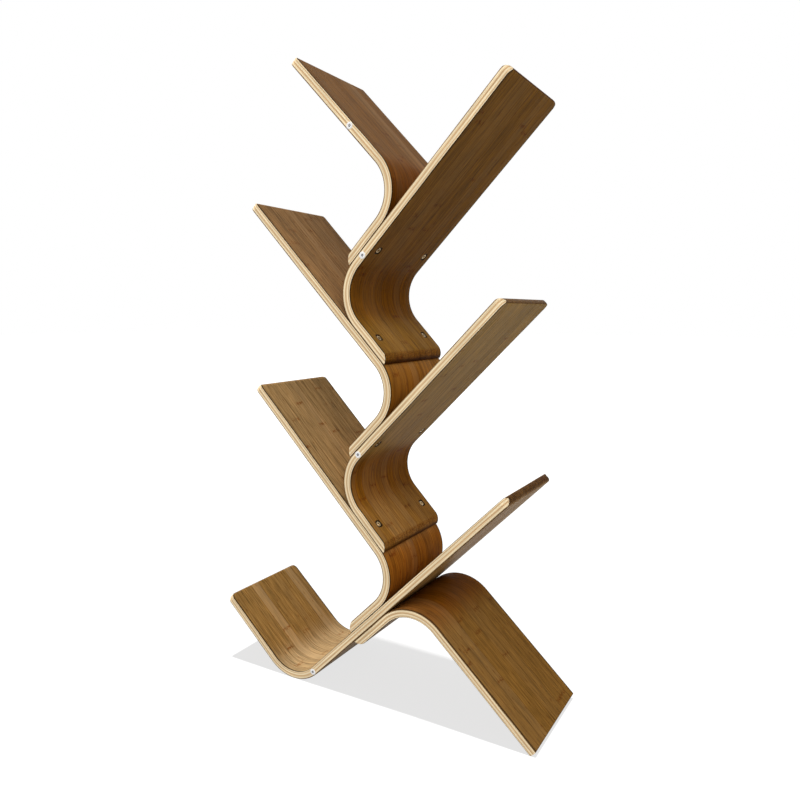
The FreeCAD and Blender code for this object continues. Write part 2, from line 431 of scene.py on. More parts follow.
@dataclass
class BentBoard:
    """A bent board with an arm and a leg, on either side of its bend.

    Each hole has a square patch of finer mesh round it, which reaches so far from its centre, and
    each rounded edge has a line of support beside it.
    """

    name: str
    batch: Batch
    corner: np.ndarray
    arm_angle: float
    arm_flat: float
    leg_angle: float
    leg_flat: float
    arm_end: SquareEnd | SweptEnd
    leg_end: SquareEnd | SweptEnd
    bores: list[Bore] = field(default_factory=list)
    stock: Stock = Stock()
    patch: float = 9.0
    support: float = 2.0

    @property
    def sense(self) -> float:
        """1 where the run turns anticlockwise through the bend in the front view, else −1."""
        turned = (self.arm_angle - self.leg_angle) % 360.0
        return -1.0 if turned < 180.0 else 1.0

    @property
    def inward_angle(self) -> float:
        """Angle of the line from the corner to the centre of the bend."""
        middle = direction(self.arm_angle) + direction(self.leg_angle)
        return math.degrees(math.atan2(middle[1], middle[0]))

    @property
    def centre(self) -> np.ndarray:
        """Centre of the bend in the front view."""
        return self.corner + direction(self.inward_angle) * self.stock.corner_to_centre

    def along(self, way: Way) -> np.ndarray:
        """Direction of one leg, away from the corner."""
        return direction(self.arm_angle if way is Way.ARM else self.leg_angle)

    def inward(self, way: Way) -> np.ndarray:
        """Direction square to one leg, to the inside of the bend.

        Args:
            way: which leg

        Returns:
            Unit direction in the front view.
        """
        middle = direction(self.inward_angle)
        along = self.along(way)
        across = middle - along * float(middle @ along)
        return across / np.linalg.norm(across)

    def point(self, way: Way, reach: float, height: float = 0.0) -> np.ndarray:
        """Point in the front view at a reach from the corner and a height above the outer face."""
        return self.corner + self.along(way) * reach + self.inward(way) * height

    def past_bend(self, way: Way, spot: np.ndarray) -> float:
        """How far along a leg's flat a point of the front view lies."""
        return float((spot - self.corner) @ self.along(way)) - self.stock.corner_to_flat

    def run_of(self, way: Way, past_bend: float) -> float:
        """Run of a place on one of the flats."""
        return way.value * (self.stock.half_bend + past_bend)

    def back_from(self, way: Way, flat: float, run: np.ndarray) -> np.ndarray:
        """Distance from the end of one of the flats back to a run."""
        return (self.run_of(way, flat) - run) * way.value

    def place(self, run: np.ndarray, depth: np.ndarray, height: np.ndarray) -> np.ndarray:
        """Bend the laid-out board into its shape.

        Formula: the part of the run inside the bend turns about the bend's centre by
        run ÷ middle radius, at a radius of outer radius − height. What is left of the run
        goes straight on from there.

        Args:
            run: runs from the middle of the bend
            depth: depths behind the middle of the shelf
            height: heights above the outer face

        Returns:
            Points (x, y, z) in millimetres, in a last axis of three.
        """
        stock = self.stock
        bent = np.clip(run, -stock.half_bend, stock.half_bend)
        turn = math.radians(self.inward_angle + 180.0) + self.sense * bent / stock.middle_radius
        radius = stock.outer_radius - height
        beyond = (run - bent) * self.sense
        x = self.centre[0] + radius * np.cos(turn) - beyond * np.sin(turn)
        z = self.centre[1] + radius * np.sin(turn) + beyond * np.cos(turn)
        return np.stack([x, depth + 0.0 * x, z], axis=-1)

    def half_depth_at(self, run: np.ndarray) -> np.ndarray:
        """Half of the depth at a run, less where a tip's corners are round.

        Formula: within a corner radius of the end, the edge moves in by
        radius − √(radius² − (radius − back)²), where back is the distance from the end.

        Args:
            run: runs from the middle of the bend

        Returns:
            Depth of the front or back edge from the middle of the board.
        """
        half = np.full(np.shape(run), self.stock.half_depth)
        for way, flat, end in self.ends():
            radius = end.corner_radius
            if radius > 0.0:
                back = np.clip(self.back_from(way, flat, run), 0.0, radius)
                half = half - (radius - np.sqrt(radius ** 2 - (radius - back) ** 2))
        return half

    def ends(self) -> list[tuple[Way, float, SquareEnd | SweptEnd]]:
        """The leg's and the arm's side, flat length and end."""
        return [(Way.LEG, self.leg_flat, self.leg_end), (Way.ARM, self.arm_flat, self.arm_end)]

    def stations(self) -> tuple[np.ndarray, np.ndarray, np.ndarray, np.ndarray]:
        """Lay out the cross-sections from the leg's end to the arm's end.

        Returns:
            For each section, run and height on the outer face, then on the inner face.
        """
        leg, arm = (end.rows(self.stock.thickness) for _, _, end in self.ends())
        leg_limit, arm_limit = (self.run_of(way, flat) for way, flat, _ in self.ends())
        first, last = leg_limit + leg.outer_back[0], arm_limit - arm.outer_back[0]
        bend = self.stock.half_bend
        spans = {(-bend, bend): BEND_STEPS}
        for bore in self.bores:
            run = self.run_of(bore.way, bore.past_bend)
            spans[(run - self.patch, run + self.patch)] = PATCH_STEPS
        stops = sorted({first, last, *(stop for span in spans for stop in span)})
        parts = [
            spans.get(pair, math.ceil((pair[1] - pair[0]) / FLAT_STEP)) for pair in zip(stops, stops[1:])
        ]
        middle = divided(stops, parts)[1:-1]
        low = np.zeros(len(middle))
        outer_run = [leg_limit + leg.outer_back[::-1], middle, arm_limit - arm.outer_back]
        outer_height = [leg.outer_height[::-1], low, arm.outer_height]
        inner_run = [leg_limit + leg.inner_back[::-1], middle, arm_limit - arm.inner_back]
        inner_height = [leg.inner_height[::-1], low + self.stock.thickness, arm.inner_height]
        return tuple(np.concatenate(row) for row in (outer_run, outer_height, inner_run, inner_height))

    def columns(self) -> np.ndarray:
        """Lay out the lines that run along the broad faces.

        Returns:
            Their depths from front to back.
        """
        flat_half = self.stock.half_depth - self.stock.edge_round
        near = flat_half - self.support
        rim = self.stock.half_depth - self.stock.rim_reach
        bolt_depth = max(bore.depth for bore in self.bores)
        back = [bolt_depth - self.patch, bolt_depth + self.patch, rim, near, flat_half]
        back_parts = [PATCH_STEPS, 1, 1, 1]
        middle_parts = math.ceil(2.0 * back[0] / FLAT_STEP)
        stops = [-stop for stop in reversed(back)] + back
        return divided(stops, back_parts[::-1] + [middle_parts] + back_parts)

    def skin(self) -> Skin:
        """Carry a loop round the board's section through all its stations.

        Formula: a loop point has a share of the way from the outer to the inner face,
        share = base + slope · round ÷ thickness, and a depth of
        across · (half depth − round) + proud · round, where round is the edge radius.

        Returns:
            The skin.
        """
        outer_run, outer_height, inner_run, inner_height = self.stations()
        across = self.columns() / (self.stock.half_depth - self.stock.edge_round)
        turn = np.linspace(0.0, math.pi / 2.0, ROUND_STEPS + 1)[1:]
        thirds = np.array([1.0, 2.0]) / 3.0
        fall = 1.0 - np.cos(turn)
        side_base = np.concatenate([np.zeros(ROUND_STEPS), thirds, np.ones(ROUND_STEPS)])
        side_slope = np.concatenate([fall, 1.0 - 2.0 * thirds, -fall[::-1]])
        side_proud = np.concatenate([np.sin(turn), np.ones(2), np.sin(turn[::-1])])
        plain, side = np.zeros(len(across)), np.ones(len(side_base))
        base = np.concatenate([plain, side_base, plain + 1.0, side_base[::-1]])
        slope = np.concatenate([plain, side_slope, plain, side_slope[::-1]])
        across = np.concatenate([across, side, across[::-1], -side])
        proud = np.concatenate([plain, side_proud, plain, -side_proud[::-1]])
        thickness = np.hypot(inner_run - outer_run, inner_height - outer_height)[:, None]
        radius = np.minimum(self.stock.edge_round, THIN_SHARE * thickness)
        share = base + slope * radius / thickness
        run = outer_run[:, None] + share * (inner_run - outer_run)[:, None]
        height = outer_height[:, None] + share * (inner_height - outer_height)[:, None]
        half = self.half_depth_at(run)
        depth = across * (half - radius) + proud * radius
        return Skin(run, depth, height, np.broadcast_to(np.abs(proud), run.shape))

    def to_edge(self, run: np.ndarray, depth: np.ndarray) -> np.ndarray:
        """Distance from the nearer edge of a face, no more than the rim's reach."""
        return np.clip(self.half_depth_at(run) - np.abs(depth), 0.0, self.stock.rim_reach)

    def to_end(self, run: np.ndarray) -> np.ndarray:
        """Distance along the run from the nearer end, no more than the rim's reach."""
        left = [self.back_from(way, flat, run) for way, flat, _ in self.ends()]
        return np.clip(np.minimum(left[0], left[1]), 0.0, self.stock.rim_reach)

    def brown(self, run: np.ndarray, height: np.ndarray) -> np.ndarray:
        """The board's colour with its painted light and shade, which changes from the leg to the bend and
        from there to the arm.

        Formula: the share of the next colour = 3s² − 2s³, where s rises from 0 to 1 within the
        blend's reach of the place where the bend begins or ends. Through the thickness the colour
        fades evenly into the arm's.

        Args:
            run: runs from the middle of the bend
            height: heights above the outer face

        Returns:
            Linear red, green and blue, one row for each point.
        """
        reach = self.batch.blend_reach
        ends = np.array([-self.stock.half_bend, self.stock.half_bend])
        rise = np.clip((run[:, None] - ends + reach) / (2.0 * reach), 0.0, 1.0)
        share = rise ** 2 * (3.0 - 2.0 * rise)
        codes = (self.batch.leg_tone_and_painted_light, self.batch.bend_painted_light, self.batch.arm_tone_and_painted_light)
        leg, bend, arm = (np.array(linear(code)[:3]) for code in codes)
        painted_side = leg + share[:, :1] * (bend - leg) + share[:, 1:] * (arm - bend)
        inward = height[:, None] / self.stock.thickness
        depth = inward if self.batch.painted_side is Face.OUTER else 1.0 - inward
        return painted_side + depth * (arm - painted_side)

    def bore_rings(
        self, bore: Bore, outlines: dict[Face, np.ndarray], start: int
    ) -> tuple[np.ndarray, np.ndarray, list[np.ndarray]]:
        """Line one hole with rings, from the square left open in one face to the other end.

        Formula: ring points are the centre + radius · (cos, sin) of even angles that begin at the
        square's first corner, at the ring's depth from the mouth.

        Args:
            bore: the hole
            outlines: vertex numbers round its square on each face
            start: number of the first new vertex

        Returns:
            New (run, depth, height) rows, the quads, and the floor of a blind hole.
        """
        outline = outlines[bore.mouth][None, :]
        count = outline.size
        angle = np.arange(count) * 2.0 * math.pi / count - 0.75 * math.pi
        radius, sunk = np.array(bore.rings).T
        run = self.run_of(bore.way, bore.past_bend) + radius[:, None] * np.cos(angle)
        depth = bore.depth + radius[:, None] * np.sin(angle)
        height = sunk if bore.mouth is Face.OUTER else self.stock.thickness - sunk
        height = np.repeat(height[:, None], count, axis=1)
        number = start + np.arange(len(radius) * count).reshape(len(radius), count)
        far_outline = [outlines[bore.mouth.other][None, :]] if bore.through else []
        grid = np.concatenate([outline, number, *far_outline])
        turned = np.roll(grid, -1, axis=1)
        quads = np.stack([grid[:-1], turned[:-1], turned[1:], grid[1:]], axis=-1).reshape(-1, 4)
        if bore.mouth is Face.INNER:
            quads = quads[:, ::-1]
        floor = [] if bore.through else [number[-1] if bore.mouth is Face.OUTER else number[-1][::-1]]
        return np.stack([run, depth, height], axis=-1).reshape(-1, 3), quads, floor

    def face_columns(self, loop: int) -> dict[Face, np.ndarray]:
        """Places of each face's lines, front to back, round a skin's loop of so many points."""
        outer = np.arange(len(self.columns()))
        return {Face.OUTER: outer, Face.INNER: loop // 2 + outer[::-1]}

    def open_patches(self, bore: Bore, number: np.ndarray, is_open: np.ndarray) -> dict[Face, np.ndarray]:
        """Leave a square of the skin open where a hole comes out of a face.

        Args:
            bore: the hole
            number: vertex numbers of the skin, by station and loop place
            is_open: which quads are left out, by station and loop place, and is filled in here

        Returns:
            Vertex numbers round the square on each face.
        """
        runs, columns = self.stations()[0], self.columns()
        run = self.run_of(bore.way, bore.past_bend)
        sides = (-self.patch, self.patch)
        low, high = (int(np.argmin(np.abs(runs - run - step))) for step in sides)
        left, right = (int(np.argmin(np.abs(columns - bore.depth - step))) for step in sides)
        outlines = {}
        for face, order in self.face_columns(number.shape[1]).items():
            if face is bore.mouth or bore.through:
                is_open[low:high, np.sort(order[left:right + 1])[:-1]] = True
            grid = number[:, order]
            outlines[face] = np.concatenate([
                grid[low:high, left],
                grid[high, left:right],
                grid[high:low:-1, right],
                grid[low, right:left:-1],
            ])
        return outlines

    def end_caps(self, number: np.ndarray) -> tuple[np.ndarray, list[np.ndarray]]:
        """Close both ends: quads from face to face, and a fan behind each rounded edge.

        Args:
            number: vertex numbers of the skin, by station and loop place

        Returns:
            The quads and the fans.
        """
        outer, inner = self.face_columns(number.shape[1]).values()
        last, turn = outer[-1], number.shape[1] // 2
        caps, fans = [], []
        for row, flip in ((number[0], True), (number[-1], False)):
            cap = np.stack([row[outer[:-1]], row[inner[:-1]], row[inner[1:]], row[outer[1:]]], axis=-1)
            back = row[last:turn + 1]
            front = np.append(row[turn + last:], row[0])
            caps.append(cap[:, ::-1] if flip else cap)
            fans += [fan if flip else fan[::-1] for fan in (back, front)]
        return np.concatenate(caps), fans

    def build(self, material: bpy.types.Material) -> bpy.types.Object:
        """Make the board's mesh: its skin, the linings of its holes and its two ends.

        Args:
            material: the bamboo material

        Returns:
            The board as an object.
        """
        skin = self.skin()
        number = np.arange(skin.run.size).reshape(skin.run.shape)
        turned = np.roll(number, -1, axis=1)
        quads = np.stack([number[:-1], number[1:], turned[1:], turned[:-1]], axis=-1)
        is_open = np.zeros(quads.shape[:2], bool)
        laid = [np.stack([skin.run, skin.depth, skin.height], axis=-1).reshape(-1, 3)]
        linings, floors = [], []
        start = number.size
        for bore in self.bores:
            outlines = self.open_patches(bore, number, is_open)
            points, lining, floor = self.bore_rings(bore, outlines, start)
            laid.append(points)
            linings.append(lining)
            floors += floor
            start += len(points)
        caps, fans = self.end_caps(number)
        quads = np.concatenate([quads[~is_open], *linings, caps])
        run, depth, height = np.concatenate(laid).T
        in_holes = np.zeros(start - number.size)
        above_front = self.stock.thickness - height if self.batch.turned else height
        on_sheet = np.stack([run + SHEET_PITCH * self.batch.sheet, depth, above_front], axis=-1)
        attributes = {
            "on_sheet": on_sheet * MM,
            "cut_edge": np.append(skin.cut, in_holes),
            # A hole's lining counts as lying on an edge, so it gets the full painted shade: painted shade
            # in the holes.
            "to_edge": np.append(self.to_edge(skin.run, skin.depth), in_holes) * MM,
            "to_end": self.to_end(run) * MM,
            # Board browns with painted light: painted shade in the bends, a painted highlight in the base
            # board's bend.
            "bamboo_colour_and_painted_light": self.brown(run, height),
        }
        points = self.place(run, depth, height)
        return make_object(self.name + "_veneered", points, quads, fans + floors, attributes, material)


def turned_piece(
    origin: np.ndarray, axis: np.ndarray, across: np.ndarray, radius: np.ndarray, place: np.ndarray
) -> tuple[np.ndarray, np.ndarray, list[np.ndarray]]:
    """Turn rings about an axis and close both ends.

    Formula: point = origin + axis · place + radius · (across · cos + upward · sin) for even angles,
    where upward is square to the axis and across.

    Args:
        origin: point of the axis where the place is 0
        axis: unit direction of rising place
        across: unit direction of angle 0
        radius: one row of radii for each ring, one column for each angle
        place: place of each ring along the axis

    Returns:
        Points, quads and the two end polygons, numbered from 0.
    """
    rings, count = radius.shape
    angle = np.arange(count) * 2.0 * math.pi / count
    upward = np.cross(axis, across)
    outward = np.cos(angle)[:, None] * across + np.sin(angle)[:, None] * upward
    points = origin + place[:, None, None] * axis + radius[:, :, None] * outward
    number = np.arange(rings * count).reshape(rings, count)
    turned = np.roll(number, -1, axis=1)
    quads = np.stack([number[:-1], turned[:-1], turned[1:], number[1:]], axis=-1).reshape(-1, 4)
    return points.reshape(-1, 3), quads, [number[0][::-1], number[-1]]


@dataclass(frozen=True)
class BoltSizes:
    """Sizes of the socket-head bolts, their holes and the inserts that they screw into.

    The bolts lie so far past a bend and in from a board's front or back edge.
    """

    diameter: float = 6.0
    thread_pitch: float = 1.0
    thread_depth: float = 0.55
    head_diameter: float = 10.0
    head_height: float = 6.0
    head_round: float = 0.6
    head_recess: float = 0.6
    end_chamfer: float = 0.6
    socket_width: float = 5.0
    socket_depth: float = 3.0
    broken_edge: float = 0.35
    knurl_depth: float = 0.15
    counterbore_clearance: float = 1.0
    hole_clearance: float = 0.3
    lip: float = 0.3
    insert_radius: float = 4.8
    insert_fit_clearance: float = 0.1
    insert_floor: float = 2.5
    end_clearance: float = 1.0
    from_bend: float = 39.0
    from_edge: float = 22.5

    @property
    def counterbore_radius(self) -> float:
        """Radius of the hole that holds a bolt's head."""
        return self.head_diameter / 2.0 + self.counterbore_clearance

    @property
    def counterbore_depth(self) -> float:
        """Depth of the hole that holds a bolt's head."""
        return self.head_recess + self.head_height

    @property
    def hole_radius(self) -> float:
        """Radius of the hole that the shank passes through."""
        return self.diameter / 2.0 + self.hole_clearance

    def head_rings(self, thickness: float) -> tuple[tuple[float, float], ...]:
        """Lay out a through hole with a counterbore whose lip is slightly rounded.

        Args:
            thickness: thickness of the board

        Returns:
            Radius and depth of each ring.
        """
        wide, lip = self.counterbore_radius, self.lip
        return (
            (wide + lip, 0.0),
            (wide + MID_ROUND * lip, MID_ROUND * lip),
            (wide, lip),
            (wide, self.counterbore_depth),
            (self.hole_radius, self.counterbore_depth),
            (self.hole_radius, thickness),
        )

    def plain_rings(self, thickness: float) -> tuple[tuple[float, float], ...]:
        """Rings of a plain through hole."""
        return ((self.hole_radius, 0.0), (self.hole_radius, thickness))

    def insert_rings(self, thickness: float) -> tuple[tuple[float, float], ...]:
        """Rings of the blind hole that holds an insert."""
        radius = self.insert_radius + self.insert_fit_clearance
        return ((radius, 0.0), (radius, thickness - self.insert_floor))


@dataclass
class BoltedJoint:
    """Two bolts side by side, through one or two boards and into the board behind them."""

    name: str
    clamped: list[tuple[BentBoard, Way]]
    held: tuple[BentBoard, Way]
    reach: float
    sizes: BoltSizes = BoltSizes()
    seat: np.ndarray = field(init=False)
    axis: np.ndarray = field(init=False)
    bolt_depth: float = field(init=False)
    bolt_end: float = field(init=False)

    def __post_init__(self) -> None:
        """Find the bolts' seat, axis, depth and end, and drill the boards."""
        first, way = self.clamped[0]
        thickness = first.stock.thickness
        self.seat = first.point(way, self.reach, thickness)
        self.axis = -first.inward(way)
        self.bolt_depth = first.stock.half_depth - self.sizes.from_edge
        grip = (len(self.clamped) + 1) * thickness - self.sizes.insert_floor
        self.bolt_end = grip - self.sizes.end_clearance
        self.drill(first, way, Face.INNER, self.sizes.head_rings(thickness), True)
        for board, side in self.clamped[1:]:
            self.drill(board, side, Face.OUTER, self.sizes.plain_rings(thickness), True)
        self.drill(*self.held, Face.OUTER, self.sizes.insert_rings(thickness), False)

    def drill(
        self, board: BentBoard, way: Way, mouth: Face, rings: tuple[tuple[float, float], ...], through: bool
    ) -> None:
        """Add the front and the rear hole to one board.

        Args:
            board: the board to drill
            way: which of its legs
            mouth: the face that the hole starts from
            rings: radius and depth of each ring of the hole
            through: whether the hole comes out on the other face
        """
        past_bend = board.past_bend(way, self.seat)
        for depth in (-self.bolt_depth, self.bolt_depth):
            board.bores.append(Bore(way, past_bend, depth, mouth, rings, through))

    def head_rows(self) -> list[np.ndarray]:
        """Lay out the head's outline from the floor of its socket to its foot.

        Formula: the shoulder is a quarter circle of the head's round, with
        radius = head radius − round · (1 − sin turn) and place = round · (1 − cos turn).

        Returns:
            Rows of radius and place for the socket, the top, the knurled side and the foot.
        """
        sizes = self.sizes
        radius, half_width = sizes.head_diameter / 2.0, sizes.socket_width / 2.0
        small = sizes.broken_edge
        socket = np.array([
            [half_width - small, sizes.socket_depth],
            [half_width, sizes.socket_depth - small],
            [half_width, small],
        ])
        rim = [half_width / math.cos(math.pi / 6.0) + small, 0.0]
        turn = np.linspace(0.0, math.pi / 2.0, ROUND_STEPS + 1)
        inward, down = (sizes.head_round * (1.0 - wave) for wave in (np.sin(turn), np.cos(turn)))
        top = np.concatenate([[rim], np.stack([radius - inward, down], axis=1)])
        side = np.array([
            [radius, sizes.head_round + small],
            [radius, sizes.head_height - sizes.head_round],
        ])
        foot = np.array([
            [radius, sizes.head_height - small],
            [radius - small, sizes.head_height],
            [sizes.diameter / 2.0, sizes.head_height],
        ])
        return [socket, top, side, foot]

    def thread_rows(self) -> list[np.ndarray]:
        """Lay out the outline of the thread, before its grooves are cut, and of the chamfered tip.

        Returns:
            Rows of radius and place for the thread and the tip.
        """
        sizes = self.sizes
        radius = sizes.diameter / 2.0
        end = self.bolt_end - sizes.head_recess
        start, stop = sizes.head_height + sizes.thread_pitch, end - sizes.end_chamfer
        steps = int((stop - start) / sizes.thread_pitch * THREAD_STEPS) + 1
        thread = np.stack([np.full(steps, radius), np.linspace(start, stop, steps)], axis=1)
        return [thread, np.array([[radius - sizes.end_chamfer, end]])]

    def bolt_rings(self) -> tuple[np.ndarray, np.ndarray]:
        """Lay out one bolt from its socket's floor, over its head and down to its tip.

        Formula: a ring's radius is widened by 1 ÷ cos of the angle from the middle of the nearest
        flat where it is a hexagon, cut by the knurl at every second point on the head's side, and
        cut by thread depth · (1 + cos(2π · place ÷ pitch − angle)) ÷ 2 on the thread.

        Returns:
            Radii by ring and angle, and each ring's place below the head's top.
        """
        sizes = self.sizes
        socket, top, side, foot = self.head_rows()
        thread, tip = self.thread_rows()
        even = np.ones(RING_POINTS)
        angle = np.arange(RING_POINTS) * 2.0 * math.pi / RING_POINTS
        hexagon = 1.0 / np.cos(angle % (math.pi / 3.0) - math.pi / 6.0)
        knurl = sizes.knurl_depth * (np.arange(RING_POINTS) % 2)
        groove = 1.0 + np.cos(2.0 * math.pi * thread[:, 1:] / sizes.thread_pitch - angle)
        radius = np.concatenate([
            socket[:, :1] * hexagon,
            top[:, :1] * even,
            side[:, :1] - knurl,
            foot[:, :1] * even,
            thread[:, :1] - sizes.thread_depth * groove / 2.0,
            tip[:, :1] * even,
        ])
        place = np.concatenate([socket, top, side, foot, thread, tip])[:, 1]
        return radius, place

    def build(self, material: bpy.types.Material) -> bpy.types.Object:
        """Make the pair of bolts as one mesh.

        Args:
            material: the plated steel

        Returns:
            The two bolts as an object.
        """
        radius, place = self.bolt_rings()
        axis = np.array([self.axis[0], 0.0, self.axis[1]])
        across = np.cross(axis, np.array([0.0, 1.0, 0.0]))
        points, quads, ends = [], [], []
        for number, depth in enumerate((-self.bolt_depth, self.bolt_depth)):
            top = np.array([self.seat[0], depth, self.seat[1]]) + axis * self.sizes.head_recess
            some_points, some_quads, some_ends = turned_piece(top, axis, across, radius, place)
            start = number * len(some_points)
            points.append(some_points)
            quads.append(some_quads + start)
            ends += [end + start for end in some_ends]
        pair = np.concatenate(points), np.concatenate(quads), ends
        return make_object(self.name + "_bolt_pair", *pair, {}, material)


@dataclass
class EdgeSticker:
    """Round paper sticker on the front edge of a board's arm, centred in its thickness."""

    name: str
    board: BentBoard
    past_bend: float
    diameter: float = 12.0
    thickness: float = 0.3
    edge_round: float = 0.1
    face_rings: tuple[float, float] = (0.6, 0.2)

    def build(self, material: bpy.types.Material) -> bpy.types.Object:
        """Make the disc, with its edge slightly rounded and rings on its face at shares of its radius.

        Args:
            material: the printed paper

        Returns:
            The sticker as an object.
        """
        stock = self.board.stock
        reach = stock.corner_to_flat + self.past_bend
        spot = self.board.point(Way.ARM, reach, stock.thickness / 2.0)
        radius = self.diameter / 2.0
        softened = MID_ROUND * self.edge_round
        rows = np.array([
            [radius, 0.0],
            [radius, self.thickness - self.edge_round],
            [radius - softened, self.thickness - softened],
            [radius - self.edge_round, self.thickness],
            *([share * radius, self.thickness] for share in self.face_rings),
        ])
        radii = np.repeat(rows[:, :1], RING_POINTS, axis=1)
        origin = np.array([spot[0], -stock.half_depth, spot[1]])
        forward = np.array([0.0, -1.0, 0.0])
        points, quads, ends = turned_piece(origin, forward, np.array([1.0, 0.0, 0.0]), radii, rows[:, 1])
        attributes = {"on_sticker": (points - origin) * MM}
        return make_object(self.name + "_disc", points, quads, ends, attributes, material)


@dataclass(frozen=True)
class BambooFinish:
    """Carbonised bamboo plywood: strips flattened side by side in a press, sanded and lacquered satin.

    The eye sees brown strips with fine streaks along them, reddish knuckle marks and flecks, faint
    seams, darkened ends, arrises darkened by painted shade, and on the cut edges two pale plies round a tan
    core.
    Sizes in threes lie along the run, the depth and the height. Ranges go from their start to their end.
    """

    thickness: float
    name: str = "carbonised_bamboo_plywood_satin_lacquer"
    strip_width: float = 21.5
    strip_shift: float = 1.5
    strip_contrast: float = 0.36
    strip_rarity: float = 3.0
    seam_width: float = 0.8
    # Real fibre bundles are about 0.4 mm wide, too fine for the picture, so they are drawn wider.
    fibre_size: tuple[float, float, float] = (30.0, 1.1, 1.1)
    streak_size: tuple[float, float, float] = (90.0, 2.4, 10.0)
    band_size: tuple[float, float, float] = (220.0, 7.0, 10.0)
    cloud_size: tuple[float, float, float] = (95.0, 38.0, 100.0)
    fibre_contrast: float = 2.1
    streak_contrast: float = 1.25
    band_contrast: float = 0.7
    cloud_contrast: float = 0.4
    grain_detail: float = 3.0
    knuckle_spacing: float = 310.0
    knuckle_scatter: float = 7.0
    knuckle_half_width: float = 6.0
    knuckle_patch: tuple[float, float, float] = (4.0, 3.0, 10.0)
    knuckle_raggedness: tuple[float, float] = (0.42, 0.58)
    fleck_size: tuple[float, float, float] = (13.0, 2.6, 10.0)
    fleck_fade: tuple[float, float] = (0.1, 0.42)
    fleckless_share: float = 0.95
    # Painted shade along each arris: full within the first distance from the edge, gone past the second.
    edge_shade_fade: tuple[float, float] = (1.4, 3.6)
    edge_shade_strength: float = 0.93
    end_fade: tuple[float, float] = (2.0, 5.0)
    face_ply_fade: tuple[float, float] = (0.4, 1.2)
    end_speck: tuple[float, float, float] = (2.0, 3.5, 2.0)
    end_speck_range: tuple[float, float] = (0.38, 0.6)
    end_speck_levels: tuple[float, float] = (0.7, 1.3)
    front_cut_from: float = 0.5
    back_cut_from: float = 0.93
    cut_tint: float = 0.07
    cut_grain_size: tuple[float, float, float] = (60.0, 2.0, 0.8)
    cut_grain_detail: float = 1.0
    cut_grain_range: tuple[float, float] = (0.3, 0.7)
    cut_grain_levels: tuple[float, float] = (0.72, 1.12)
    ply_wander: float = 1.6
    ply_wander_size: tuple[float, float, float] = (70.0, 20.0, 20.0)
    roughness: tuple[float, float] = (0.36, 0.52)
    cut_roughness_gain: float = 0.14
    refraction: float = 1.5
    shine: float = 0.01
    pore_depth: float = 0.12
    pore_strength: float = 0.12
    pale_strip: str = "#D2B184"
    knuckle: str = "#CFAA90"
    seam: str = "#C4AE98"
    fleck: str = "#C8A088"
    # Near-black painted shade along the arrises and over the holes' linings.
    edge_shade: str = "#20170A"
    end_grain: str = "#F0E2CC"
    end_darkening: str = "#A8A094"
    cream: str = "#FFF0CC"
    core: str = "#F0D4A8"
    glue: str = "#CCA478"
    arris_shade: str = "#64482A"

    def build(self) -> bpy.types.Material:
        """Make the material from the places in the laid-out board.

        Returns:
            The bamboo material.
        """
        material, tree, shader = new_material(self.name)
        laid = add(tree, "Attribute", attribute_name="on_sheet")
        place = add(tree, "VectorMath", {0: laid.outputs["Vector"], "Scale": 1.0 / MM}, operation="SCALE")
        run, depth, height = add(tree, "SeparateXYZ", {0: place}).outputs
        # The board's brown, with painted shade in its bends and a painted highlight in the base board's
        # bend.
        own = add(tree, "Attribute", attribute_name="bamboo_colour_and_painted_light").outputs["Vector"]
        fibres = self.grain(tree, place, self.fibre_size)
        face = self.face_colour(tree, place, run, depth, own, fibres)
        face = self.end_grain_and_edge_shade(tree, place, height, face)
        cut = self.cut_colour(tree, place, height, own)
        side = add(tree, "Math", {0: depth, 1: 0.0}, operation="GREATER_THAN")
        cut_from = add(
            tree, "MapRange", {"Value": side, "To Min": self.front_cut_from, "To Max": self.back_cut_from}
        )
        cut_edge = add(tree, "Attribute", attribute_name="cut_edge")
        is_cut = add(tree, "Math", {0: cut_edge.outputs["Fac"], 1: cut_from}, operation="GREATER_THAN")
        colour = add(tree, "Mix", {"Factor": is_cut, 6: face, 7: cut}, data_type="RGBA")
        tree.links.new(colour.outputs[2], shader.inputs["Base Color"])
        self.surface(tree, shader, fibres, is_cut)
        return material

    def surface(
        self,
        tree: bpy.types.NodeTree,
        shader: bpy.types.Node,
        fibres: bpy.types.Node,
        is_cut: bpy.types.Node,
    ) -> None:
        """Set how the lacquer shines, how rough it is, and the pores left open along the fibres.

        Args:
            tree: the material's node tree
            shader: its Principled node
            fibres: the fine streaks
            is_cut: 1 on the cut edges, else 0
        """
        smooth, rough = self.roughness
        roughness = add(tree, "MapRange", {"Value": fibres, "To Min": smooth, "To Max": rough})
        roughness = add(
            tree, "Math", {0: is_cut, 1: self.cut_roughness_gain, 2: roughness}, operation="MULTIPLY_ADD"
        )
        tree.links.new(roughness.outputs[0], shader.inputs["Roughness"])
        depth = self.pore_depth * MM
        pores = add(tree, "Bump", {"Strength": self.pore_strength, "Distance": depth, "Height": fibres})
        tree.links.new(pores.outputs[0], shader.inputs["Normal"])
        shader.inputs["IOR"].default_value = self.refraction
        shader.inputs["Specular IOR Level"].default_value = self.shine

    def grain(
        self, tree: bpy.types.NodeTree, place: bpy.types.Node, size: tuple[float, float, float]
    ) -> bpy.types.Node:
        """Noise whose patches are about so long along the run, the depth and the height."""
        drawn = add(tree, "VectorMath", {0: place, 1: size}, operation="DIVIDE")
        return add(tree, "TexNoise", {"Vector": drawn, "Scale": 1.0, "Detail": self.grain_detail})

